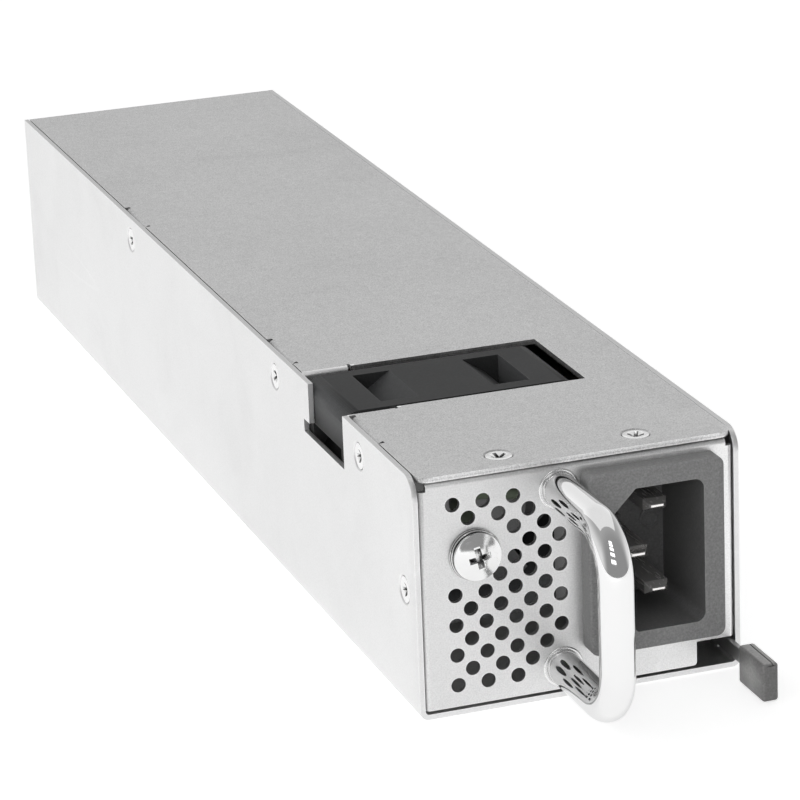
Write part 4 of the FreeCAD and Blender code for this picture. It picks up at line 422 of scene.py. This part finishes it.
def wound(name, colour, dark, rough, pitch):
    """Enamelled wire or tape laid in turns."""
    f = Finish(name, IOR=1.5, Metallic=0.6)
    turns = f.put("ShaderNodeTexWave", {"wave_type": "BANDS", "bands_direction": "X"}, {
        "Vector": f.place, "Scale": 0.314 / pitch, "Distortion": 0.8, "Detail": 1.0, "Detail Scale": 2.0,
    })
    fine = f.cloud(pitch * 0.4, 2.0)
    f.feed(Base_Color=f.shade(f.mix(turns, dark, colour), 0.9 + fine * 0.2))
    f.feed(Roughness=(rough + (fine - 0.5) * 0.16).clip())
    f.feed(Normal=f.relief(turns, pitch * 0.25, 0.8))
    return f.material


def socket_shade(f):
    """Painted shade: the socket's inside darker than its rim, more so deeper in, and the body behind the
    plate darker still.
    """
    x, y, z = (f.axis(f.place, name) for name in "XYZ")
    across = abs(x - SOCKET_MIDDLE[0] * MM) < SOCKET_HALF[0] * MM
    upright = abs(z - SOCKET_MIDDLE[1] * MM) < SOCKET_HALF[1] * MM
    inside = across * upright * (y > SOCKET_MOUTH * MM)
    behind_plate = (1 - inside) * (y > PLATE_BACK * MM)
    deep = f.contrast(y, SOCKET_DIM * MM, SOCKET_DARK * MM)
    return 1 - inside * (0.44 + deep * 0.14) - behind_plate * 0.88


def pin_metal(name):
    """Nickel plate with painted light: a painted highlight on the blades' forward faces and ends, painted
    shade dark and dull on their sides.
    """
    f = Finish(name)
    bloom = f.cloud(0.002, 3.0, 0.6, warp=0.5)
    lines = f.cloud(0.0004, 2.0, 0.5, f.stretched((1, 0.08, 1)))
    drawn = f.contrast(f.axis(f.place, "Y"), PIN_SHOULDER * MM, PIN_TIP * MM)
    # painted highlight on the forward faces and the ends, painted shade elsewhere
    tip = (f.facing("-Y") + drawn).clip()
    f.feed(Base_Color=f.shade(grey(0.92, 0.02), (0.3 + tip * 0.7) * (0.95 + bloom * 0.1)))
    f.feed(Metallic=0.3 + tip * 0.7)
    f.feed(Roughness=(0.24 + (lines - 0.5) * 0.3).clip())
    f.feed(Normal=f.relief(lines, 0.000004, 0.6))
    return f.material


def frame_shade(f):
    """Painted light on the fan frame's outer wall: a painted reflection pale along the top, and painted shade
    in the hollow between the flanges.
    """
    wall = f.facing("-X", 0.25, 0.9)
    upper = f.contrast(f.axis(f.place, "Z"), FRAME_SHOULDER * MM, FRAME_FLANGE * MM)
    return 1 + wall * (upper * 3.0 - 0.75)


def thumb_shade(f):
    """The grip: a pale patch on its inner side, the rest of that side a little darker, painted light on its
    top and painted shade on its front.
    """
    y, z = (f.axis(f.place, name) for name in "YZ")
    away = abs(y - THUMB_PATCH[0] * MM) * 0.8 + abs(z - THUMB_PATCH[1] * MM) * 1.2
    patch = f.contrast(away, 4.6 * MM, 1.2 * MM)
    return 0.9 + f.facing("+Z") * 0.8 + f.facing("-X") * (patch * 0.6 - 0.1) - f.facing("-Y") * 0.12


def make_finishes():
    """Every finish by its slot's name: who makes it, its main settings, and the others by name."""
    rows = {
        # colour, roughness and sparkle
        "inlet_plastic": (moulded, (grey(0.29), 0.5, 0.34), {"shaded": socket_shade}),
        "fan_plastic": (moulded, (grey(0.032, -0.02), 0.5, 0.3), {"shaded": frame_shade, "shine": 0.14}),
        "rotor_plastic": (moulded, (grey(0.04), 0.46, 0.18), {"shine": 0.3}),
        "thumb_plastic": (moulded, (grey(0.27, 0.01), 0.42, 0.34), {"shaded": thumb_shade}),
        "package_epoxy": (moulded, (grey(0.03), 0.5, 0.15), {}),
        "film_capacitor_box": (moulded, ((0.62, 0.46, 0.10, 1), 0.42, 0.08), {}),
        "live_insulation": (moulded, ((0.03, 0.017, 0.012, 1), 0.42, 0.1), {}),
        "neutral_insulation": (moulded, ((0.013, 0.02, 0.05, 1), 0.42, 0.1), {}),
        "earth_insulation": (moulded, ((0.022, 0.026, 0.019, 1), 0.42, 0.1), {}),
        "insulating_film": (moulded, (grey(0.02, 0.02), 0.35, 0.08), {}),
        "capacitor_sleeve": (moulded, ((0.025, 0.028, 0.05, 1), 0.3, 0.06), {}),
        # tone, roughness and grain
        "tray_steel": (sheet_metal, (0.85, 0.46, 0.04), {"top_shade_tone": 0.63}),
        "plate_steel": (sheet_metal, (0.80, 0.44, 0.09), {"right_painted_light": 0.2}),
        # the cover's tone, darker than the tray's, is partly its own and partly painted shade on the case's
        # top
        "cover_steel": (sheet_metal, (0.61, 0.46, 0.24), {"cut_and_light_tone": 0.82}),
        "bracket_steel": (sheet_metal, (0.62, 0.42, 0.04), {}),
        "latch_steel": (sheet_metal, (0.60, 0.38, 0.04), {}),
        # tone and roughness
        "nut_steel": (bright_metal, (0.66, 0.28), {}),
        "screw_steel": (bright_metal, (0.85, 0.14), {"recess": 0.0008}),
        "collar_steel": (bright_metal, (0.84, 0.26), {}),
        "handle_chrome": (bright_metal, (0.86, 0.05), {"marks": 0.03, "rim": 0.4}),
        "pin_nickel": (pin_metal, (), {}),
        "shaft_steel": (bright_metal, (0.7, 0.22), {}),
        "spring_wire": (bright_metal, (0.55, 0.3), {}),
        "tinned_metal": (bright_metal, (0.72, 0.32), {"marks": 0.2}),
        # colour, darker colour and roughness
        "coil_copper": (coloured_metal, ((0.83, 0.40, 0.22, 1), (0.5, 0.2, 0.1, 1), 0.3), {}),
        "contact_gold": (coloured_metal, ((0.95, 0.72, 0.32, 1), (0.75, 0.52, 0.2, 1), 0.22), {}),
        "heat_sink_aluminium": (coloured_metal, (grey(0.72), grey(0.55), 0.38), {"size": 0.002}),
        "magnet_ferrite": (lacquered, (grey(0.09), grey(0.05), 0.6), {}),
        "fuse_ceramic": (lacquered, (grey(0.75, 0.02), grey(0.62, 0.03), 0.35), {"coat": 0.4}),
        "disc_ceramic": (lacquered, ((0.16, 0.30, 0.55, 1), (0.10, 0.20, 0.42, 1), 0.35), {"coat": 0.3}),
        "ring_core": (lacquered, ((0.10, 0.22, 0.12, 1), (0.06, 0.15, 0.08, 1), 0.5), {}),
        "winding_copper": (wound, ((0.62, 0.26, 0.10, 1), (0.20, 0.07, 0.03, 1), 0.3), {"pitch": 0.0011}),
        "winding_tape": (wound, ((0.72, 0.56, 0.12, 1), (0.5, 0.36, 0.06, 1), 0.4), {"pitch": 0.004}),
        # the mask's colour and that of copper under it
        "board_laminate": (board_finish, ((0.02, 0.11, 0.045, 1), (0.06, 0.26, 0.10, 1)), {}),
    }
    return {name: maker(name, *main, **more) for name, (maker, main, more) in rows.items()}


def finish_nodes(made):
    slots = {row["node"]: row["material_slot"] for row in frame["record"]["subparts"]}
    for name, thing in nodes.items():
        thing.data.materials.clear()
        thing.data.materials.append(made[slots[name]])


# ---------------------------------------------------------------- modelling by hand

FACINGS = {
    "left": Matrix.Rotation(math.radians(-90), 4, "Y"),
    "right": Matrix.Rotation(math.radians(90), 4, "Y"),
    "front": Matrix.Rotation(math.radians(90), 4, "X"),
    "up": Matrix.Identity(4),
}


def add_primitive(kind, name, **settings):
    """A new primitive, its place in its mesh, open in edit mode with everything selected."""
    bpy.ops.object.select_all(action="DESELECT")
    getattr(bpy.ops.mesh, f"primitive_{kind}_add")(**settings)
    piece = bpy.context.object
    piece.name = piece.data.name = name
    bpy.ops.object.transform_apply(location=True, rotation=True, scale=True)
    bpy.ops.object.mode_set(mode="EDIT")
    bpy.ops.mesh.select_mode(type="VERT")
    bpy.ops.mesh.select_all(action="SELECT")
    return piece


def add_block(name, span, centre):
    """A block to be shaped further; its span and centre are in millimetres."""
    scale, location = (tuple(length * MM for length in row) for row in (span, centre))
    return add_primitive("cube", name, size=1, scale=scale, location=location)


def pick_faces(piece, test):
    """Selects the faces whose normal passes a test."""
    bpy.ops.mesh.select_mode(type="FACE")
    bpy.ops.mesh.select_all(action="DESELECT")
    mesh = bmesh.from_edit_mesh(piece.data)
    for face in mesh.faces:
        if test(face.normal):
            face.select_set(True)
    bmesh.update_edit_mesh(piece.data)


def pick_front(piece):
    pick_faces(piece, lambda normal: normal.y < -0.5)


def pick_all_edges():
    bpy.ops.mesh.select_mode(type="EDGE")
    bpy.ops.mesh.select_all(action="SELECT")


def extrude(y=0.0, z=0.0):
    bpy.ops.mesh.extrude_region_move(TRANSFORM_OT_translate={"value": (0, y * MM, z * MM)})


def resize(x, y, z, centre=(0, 0, 0)):
    bpy.ops.transform.resize(value=(x, y, z), center_override=tuple(c * MM for c in centre))


def close_edit(piece, smooth=35):
    """Merges doubles, turns the faces outward, leaves edit mode and smooths."""
    bpy.ops.mesh.select_all(action="SELECT")
    bpy.ops.mesh.remove_doubles(threshold=DOUBLES)
    bpy.ops.mesh.normals_make_consistent(inside=False)
    bpy.ops.object.mode_set(mode="OBJECT")
    bpy.ops.object.select_all(action="DESELECT")
    piece.select_set(True)
    bpy.context.view_layer.objects.active = piece
    bpy.ops.object.shade_smooth_by_angle(angle=math.radians(smooth))
    return piece


def modify(piece, kind, **settings):
    """Adds a modifier and applies it."""
    bpy.context.view_layer.objects.active = piece
    modifier = piece.modifiers.new(kind.lower(), kind)
    for name, value in settings.items():
        setattr(modifier, name, value)
    bpy.ops.object.modifier_apply(modifier=modifier.name)
    return piece


def cut_away(piece, cutter):
    modify(piece, "BOOLEAN", operation="DIFFERENCE", solver="EXACT", object=cutter)
    bpy.data.objects.remove(cutter)


def break_edges(piece, width, segments, over):
    """Rounds the edges whose faces meet at more than an angle; the width is in millimetres."""
    settings = {"limit_method": "ANGLE", "angle_limit": math.radians(over)}
    return modify(piece, "BEVEL", width=width * MM, segments=segments, **settings)


def put_at(piece, place, facing):
    """Turns and moves a finished mesh; place is in millimetres."""
    piece.data.transform(Matrix.Translation(Vector(place) * MM) @ FACINGS[facing])
    return piece


def copy_of(piece, name):
    twin = piece.copy()
    twin.data = piece.data.copy()
    twin.name = twin.data.name = name
    bpy.context.scene.collection.objects.link(twin)
    return twin


def join(name, pieces):
    """Several meshes as one piece."""
    bpy.ops.object.select_all(action="DESELECT")
    for piece in pieces:
        piece.select_set(True)
    bpy.context.view_layer.objects.active = pieces[0]
    bpy.ops.object.join()
    pieces[0].name = pieces[0].data.name = name
    return pieces[0]


def hand_over(piece, slot, body, *stands_for):
    """Gives a piece its finish and its body, and hides the nodes that it stands for."""
    piece.data.materials.clear()
    piece.data.materials.append(finishes[slot])
    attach(piece, body)
    if stands_for:
        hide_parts(*stands_for)


def turned(name, profile, sides, closed=False, smooth=35):
    """A piece of revolution about Z: a circle carried from one radius and height to the next."""
    radius, height = profile[0]
    piece = add_primitive(
        "circle", name, vertices=sides, radius=radius * MM, location=(0, 0, height * MM),
        fill_type="NOTHING" if closed else "NGON",
    )
    for next_radius, next_height in profile[1:]:
        extrude(z=next_height - height)
        ratio = next_radius / radius
        resize(ratio, ratio, 1, (0, 0, next_height))
        radius, height = next_radius, next_height
    return close_edit(piece, smooth)


def cross_cutter(width, span, depth, taper):
    """A cross with tapering arms, the shape of a screwdriver's tip, its wide end at height nought."""
    cutter = add_block("cross_cutter", (width, width, depth + 1), (0, 0, (1 - depth) / 2))
    pick_faces(cutter, lambda normal: abs(normal.z) < 0.5)
    arm = (span - width) / 2
    bpy.ops.mesh.extrude_faces_move(TRANSFORM_OT_shrink_fatten={"value": arm * MM})
    pick_faces(cutter, lambda normal: normal.z < -0.5)
    resize(taper, taper, 1, (0, 0, -depth))
    return close_edit(cutter)


def cut_cross(piece, width, span, depth, height, taper=0.62):
    """Cuts a cross recess into a screw's head, down from a height."""
    cutter = cross_cutter(width, span, depth, taper)
    cutter.data.transform(Matrix.Translation((0, 0, height * MM)))
    cut_away(piece, cutter)
    break_edges(piece, 0.05, 2, over=40)


# ---------------------------------------------------------------- sheet edges

BROKEN_EDGES = {
    "top_cover": 0.07, "chassis_tray": 0.12, "front_plate": 0.12, "latch_lever": 0.12, "fan_frame": 0.25,
}


def soften_sheet_edges():
    """The pressed sheet's cut edges and the fan frame's are broken a little, so they catch the light."""
    for node, width in BROKEN_EDGES.items():
        weld = nodes[node].modifiers.new("weld", "WELD")
        weld.merge_threshold = DOUBLES
        soft = nodes[node].modifiers.new("soft_edges", "BEVEL")
        soft.width, soft.segments, soft.limit_method = width * MM, 2, "ANGLE"
        soft.angle_limit = math.radians(50)
        soft.harden_normals = True


# ---------------------------------------------------------------- handle

HANDLE_RADIUS, HANDLE_BEND = 2.8, 7.6
LEG_FOOT = 0.6


def bend_rod(x, y, z):
    """Carries the rod's end through a quarter turn round a centre."""
    centre = (x * MM, y * MM, z * MM)
    bpy.ops.mesh.spin(steps=20, angle=math.radians(90), center=centre, axis=(1, 0, 0))


def make_handle():
    """The chromed rod: one circle carried along both legs, round both bends and up the bar."""
    low, high = corners("pull_handle")
    foot = corners("front_plate")[0].y + LEG_FOOT
    x = (low.x + high.x) / 2
    bend_y = low.y + HANDLE_RADIUS + HANDLE_BEND
    leg_low, leg_high = low.z + HANDLE_RADIUS, high.z - HANDLE_RADIUS
    rod = add_primitive(
        "circle", "handle_rod", vertices=56, radius=HANDLE_RADIUS * MM, fill_type="NGON",
        location=(x * MM, foot * MM, leg_low * MM), rotation=(math.radians(90), 0, 0),
    )
    extrude(y=bend_y - foot)
    bend_rod(x, bend_y, leg_low + HANDLE_BEND)
    extrude(z=leg_high - leg_low - 2 * HANDLE_BEND)
    bend_rod(x, bend_y, leg_high - HANDLE_BEND)
    extrude(y=foot - bend_y)
    close_edit(rod, 60)
    studs = []
    for z in (leg_low, leg_high):
        stud = turned("handle_stud", [(1.2, -3.9), (1.5, -3.6), (1.5, 0.2)], 32)
        studs.append(put_at(stud, (x, foot, z), "front"))
    hand_over(join("handle_rod", [rod, *studs]), "handle_chrome", "case", "pull_handle")


def make_handle_seats():
    """The low rings pressed round the handle's legs where they meet the plate."""
    low, high = corners("handle_collars")
    seat_y = corners("front_plate")[0].y - 0.005
    x, radius = (low.x + high.x) / 2, (high.x - low.x) / 2
    bore = HANDLE_RADIUS - 0.02
    profile = [
        (bore, 0.0), (radius, 0.0), (radius - 0.02, 0.08), (radius - 0.14, 0.17), (radius - 0.34, 0.2),
        (bore + 0.07, 0.16), (bore, 0.1), (bore, 0.0),
    ]
    seats = []
    for z in (low.z + radius, high.z - radius):
        seat = turned("handle_seat", profile, 64, closed=True, smooth=50)
        seats.append(put_at(seat, (x, seat_y, z), "front"))
    hand_over(join("handle_seats", seats), "collar_steel", "case", "handle_collars")


# ---------------------------------------------------------------- screws


def make_ground_screw():
    """Pan head with a cross recess, on its lock washer and plain washer."""
    low, high = corners("ground_screw")
    seat = corners("ground_washer")[1].y
    place = ((low.x + high.x) / 2, seat, (low.z + high.z) / 2)
    radius, tall = (high.x - low.x) / 2 + 0.02, seat - low.y
    shank, foot = 1.95, 0.95
    bulge, steps = radius * 2.1, 7
    angles = [math.asin(radius * 0.93 / bulge) * k / steps for k in range(steps, 0, -1)]
    dome = [(bulge * math.sin(t), tall - bulge * (1 - math.cos(t))) for t in angles]
    rim = dome[0][1]
    profile = [
        (shank, -1.5), (shank, foot), (radius - 0.7, foot), (radius - 0.7, foot + 0.1),
        (radius - 0.08, foot + 0.13), (radius, foot + 0.2), (radius, rim - 0.16), (radius - 0.05, rim - 0.05),
    ]
    head = turned("ground_screw_head", profile + dome + [(SHUT, tall)], 96, smooth=50)
    cut_cross(head, width=1.4, span=4.8, depth=1.45, height=tall, taper=0.4)
    head.data.transform(Matrix.Rotation(math.radians(12), 4, "Z"))
    hand_over(put_at(head, place, "front"), "screw_steel", "case", "ground_screw")
    bore, outer, inner = 2.1, radius + 0.34, radius + 0.2
    rings = [
        (bore, 0.0), (outer - 0.08, 0.0), (outer, 0.07), (outer, 0.35), (outer - 0.06, 0.42),
        (outer - 0.6, 0.43), (outer - 0.6, 0.52), (inner - 0.06, 0.53), (inner, 0.6), (inner, 0.82),
        (inner - 0.06, 0.88), (inner - 0.6, 0.9), (bore + 0.2, 0.9), (bore, 0.8), (bore, 0.0),
    ]
    washer = turned("ground_washers", rings, 96, closed=True, smooth=40)
    hand_over(put_at(washer, place, "front"), "screw_steel", "case", "ground_washer")


SINK_RADIUS, SUNK = 2.42, 0.03
FLUSH_PROFILE = [
    (1.15, -3.95), (1.5, -3.6), (1.5, -0.95), (1.52, -0.88), (2.16, -0.26), (2.2, -0.17), (2.12, -0.09),
    (1.95, -0.05), (1.3, -0.04), (1.15, -0.08), (0.3, -0.42), (SHUT, -0.45),
]
SIDE_SCREWS = {
    "cover_side_screws": [(25.7, 35.7), (70.1, 35.7), (161.3, 35.7)],
    "front_plate_screws": [(5.4, 20.2)],
}


def flush_head(**cross):
    """One countersunk screw with its cross recess, its head's face at height nought."""
    screw = turned("flush_screw", FLUSH_PROFILE, 48, smooth=30)
    cut_cross(screw, height=-0.04, **cross)
    return screw


def seated_copy(screw, turn, place, facing):
    """A copy of a screw, driven home at its own angle."""
    twin = copy_of(screw, "flush_copy")
    twin.data.transform(Matrix.Rotation(turn, 4, "Z"))
    return put_at(twin, place, facing)


def make_flush_screws():
    """Countersunk cross heads, each kind modelled once and copied to its holes in the walls and the cover."""
    screw = flush_head(width=0.6, span=2.7, depth=1.1)
    low, high = corners("chassis_tray")
    faces = {"left": low.x + SUNK, "right": high.x - SUNK}
    for node, spots in SIDE_SCREWS.items():
        copies = []
        for setback, z in spots:
            for side, x in faces.items():
                turn = math.radians(17 * len(copies) + 8)
                copies.append(seated_copy(screw, turn, (x, low.y + setback, z), side))
        hand_over(join(node + "_cut", copies), "screw_steel", "case", node)
    bpy.data.objects.remove(screw)
    screw = flush_head(width=0.85, span=3.3, depth=1.5, taper=0.5)
    low, high = corners("cover_front_screws")
    y, z = (low.y + high.y) / 2, high.z - SUNK
    left = seated_copy(screw, 0.3, (low.x + SINK_RADIUS, y, z), "up")
    right = seated_copy(screw, 1.1, (high.x - SINK_RADIUS, y, z), "up")
    hand_over(join("cover_front_screws_cut", [left, right]), "screw_steel", "case", "cover_front_screws")
    bpy.data.objects.remove(screw)


# ---------------------------------------------------------------- latch


def make_thumb_tab():
    """The moulded finger piece on the lever's end, with a parting groove along its top."""
    low, high = corners("latch_thumb_tab")
    low, high = low - Vector((0, 0.9, 0.18)), high + Vector((0.05, 0, 0))
    centre, span = (low + high) / 2, high - low
    tab = add_block("thumb_grip", span, centre)
    pick_all_edges()
    bpy.ops.mesh.bevel(offset=0.55 * MM, segments=5, affect="EDGES")
    close_edit(tab, 40)
    groove = add_block("groove", (0.2, span.y + 1, 0.7), (high.x - 0.98, centre.y, high.z - 0.02))
    cut_away(tab, close_edit(groove))
    break_edges(tab, 0.04, 2, over=55)
    hand_over(tab, "thumb_plastic", "latch", "latch_thumb_tab")


# ---------------------------------------------------------------- mains inlet

PIN_THICK = 2.0


def pin_rows(node):
    """The middles of a node's blades, one or two above each other: their x and each one's height."""
    low, high = corners(node)
    x, half = (low.x + high.x) / 2, PIN_THICK / 2
    if high.z - low.z < 2 * PIN_THICK:
        return x, [(low.z + high.z) / 2]
    return x, [low.z + half, high.z - half]


def make_pins():
    """The three blades, each drawn down to a small blunt tip."""
    for node in ("inlet_line_pins", "inlet_earth_pin"):
        low, high = corners(node)
        x, heights = pin_rows(node)
        shoulder = low.y + 1.3
        blades = []
        for z in heights:
            span = (high.x - low.x, high.y - shoulder, PIN_THICK)
            blade = add_block("blade", span, (x, (high.y + shoulder) / 2, z))
            pick_front(blade)
            extrude(y=-0.8)
            resize(0.8, 1, 0.5, (x, low.y + 0.5, z))
            extrude(y=-0.5)
            resize(0.66, 1, 0.42, (x, low.y, z))
            blades.append(break_edges(close_edit(blade, 25), 0.07, 2, over=25))
        hand_over(join(node.replace("inlet_", "") + "_drawn", blades), "pin_nickel", "case", node)


def make_inlet_details():
    """Raised seats round the three pins and the round mould mark on the socket's floor."""
    parts = []
    for node in ("inlet_line_pins", "inlet_earth_pin"):
        x, heights = pin_rows(node)
        for z in heights:
            seat = add_block("pin_seat", (5.4, 1.1, 3.4), (x, SOCKET_FLOOR - 0.35, z))
            pick_front(seat)
            bpy.ops.mesh.inset(thickness=0.45 * MM, depth=-0.25 * MM)
            parts.append(break_edges(close_edit(seat, 30), 0.25, 3, over=40))
    profile = [(1.7, -0.2), (1.7, 0.22), (1.5, 0.34), (1.25, 0.34), (1.1, 0.2), (0.3, 0.16)]
    mark = turned("mould_mark", profile, 40, smooth=30)
    parts.append(put_at(mark, (17.4, SOCKET_FLOOR, SOCKET_MIDDLE[1]), "front"))
    hand_over(join("inlet_floor_details", parts), "inlet_plastic", "case")


# ---------------------------------------------------------------- stage

FLOOR_SIZE, FLOOR_DROP = 5, 0.0002
PAPER, FLOOR_GLOW = 0.6, 0.70
ROOM_LEVEL, BACKDROP_LEVEL, CEILING_LEVEL, DARK_SIDE_LEVEL = 0.24, 0.82, 0.42, 0.30
AIM = Vector((0, 0, 0.02))
# Each lamp's name, place, width, height, the brightness of its face, and whether metals mirror it.
LAMPS = [
    ("window_light", (-1.3, -0.5, 0.9), 1.3, 1.3, 1.1, False),
    ("top_light", (0.1, 1.0, 1.7), 3.6, 2.8, 0.42, True),
    *((f"pane_{k}", (-0.36, -1.1, 0.5 + 0.3 * k), 0.55, 0.13, 1.8, True) for k in range(5)),
    ("front_fill", (-0.24, -0.78, 0.2), 0.3, 0.3, 3.4, False),
]
BAY_LAMP = ("bay_lamp", (-0.013, -0.1195, 0.02), 0.024, 0.032, 14.0)


def make_stage():
    """A white floor that glows to the camera and in mirrors, and keeps the object's shadow."""
    low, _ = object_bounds()
    bpy.ops.object.select_all(action="DESELECT")
    bpy.ops.mesh.primitive_plane_add(size=FLOOR_SIZE, location=(0, 0, low.z - FLOOR_DROP))
    floor = bpy.context.object
    floor.name = "studio_floor"
    paper = Finish("studio_paper", Roughness=0.9)
    tooth = paper.cloud(0.004, 3.0)
    paper.feed(Base_Color=paper.shade(grey(PAPER), 0.99 + tooth * 0.02))
    strength = seen_directly(paper) * FLOOR_GLOW
    glow = paper.put("ShaderNodeEmission", None, {"Color": grey(1), "Strength": strength})
    both = paper.put("ShaderNodeAddShader", None, {0: Wire(paper, paper.shader.outputs[0]), 1: glow})
    out = next(n for n in paper.tree.nodes if n.type == "OUTPUT_MATERIAL")
    paper.tree.links.new(both.socket, out.inputs["Surface"])
    floor.data.materials.append(paper.material)


def seen_directly(finish):
    """One for what the camera, a mirror or glass sees; nought for what lights the object."""
    kinds = ("Is Camera Ray", "Is Glossy Ray", "Is Transmission Ray")
    camera, mirror, glass = (finish.put("ShaderNodeLightPath", output=kind) for kind in kinds)
    return (camera + mirror + glass).clip()


class Sky(Finish):
    """The world's own nodes, with the same arithmetic as a material."""

    def __init__(self, world):
        world.use_nodes = True
        self.tree = world.node_tree
        self.shader = next(n for n in self.tree.nodes if n.type == "BACKGROUND")


def make_sky():
    """A plain room: white behind, dimmer overhead and on the dark side in front, as mirrors see it."""
    world = bpy.data.worlds.new("studio_white")
    bpy.context.scene.world = world
    sky = Sky(world)
    direction = sky.put("ShaderNodeTexCoord", output="Generated")
    height, depth = sky.axis(direction, "Z"), sky.axis(direction, "Y")
    camera = sky.put("ShaderNodeLightPath", output="Is Camera Ray")
    smooth = {"interpolation_type": "SMOOTHSTEP"}
    backdrop = sky.put("ShaderNodeMapRange", smooth, {
        "Value": height, "From Min": 0.05, "From Max": 0.7, "To Min": BACKDROP_LEVEL, "To Max": CEILING_LEVEL,
    })
    dark_side = sky.put("ShaderNodeMapRange", smooth, {
        "Value": depth, "From Min": 0.1, "From Max": -0.5, "To Min": 0.0, "To Max": 1.0,
    })
    mirrored = backdrop * (1 - dark_side) + DARK_SIDE_LEVEL * dark_side
    seen = seen_directly(sky)
    sky.feed(Strength=seen * (camera + (1 - camera) * mirrored) + (1 - seen) * ROOM_LEVEL)
    sky.constants(Color=(1, 1, 1, 1))


def add_lamp(name, place, width, height, level):
    """A broad soft lamp turned towards the object; level is the brightness of its own face."""
    lamp = bpy.data.lights.new(name, "AREA")
    lamp.shape, lamp.size, lamp.size_y = "RECTANGLE", width, height
    lamp.energy = level * math.pi * width * height
    thing = bpy.data.objects.new(name, lamp)
    bpy.context.scene.collection.objects.link(thing)
    thing.location = place
    thing.rotation_euler = (AIM - Vector(place)).to_track_quat("-Z", "Y").to_euler()
    return thing


def make_lamps():
    """The room's lamps, and a small hidden one behind the front plate that lights the vents."""
    for *settings, mirrored in LAMPS:
        add_lamp(*settings).visible_glossy = mirrored
    bay = add_lamp(*BAY_LAMP)
    bay.rotation_euler = (math.radians(90), 0, 0)
    bay.visible_glossy = bay.visible_camera = False


make_camera()
finishes = make_finishes()
finish_nodes(finishes)
soften_sheet_edges()
make_handle()
make_handle_seats()
make_ground_screw()
make_flush_screws()
make_thumb_tab()
make_pins()
make_inlet_details()
make_stage()
make_sky()
make_lamps()
bpy.context.scene.view_settings.view_transform = "Standard"
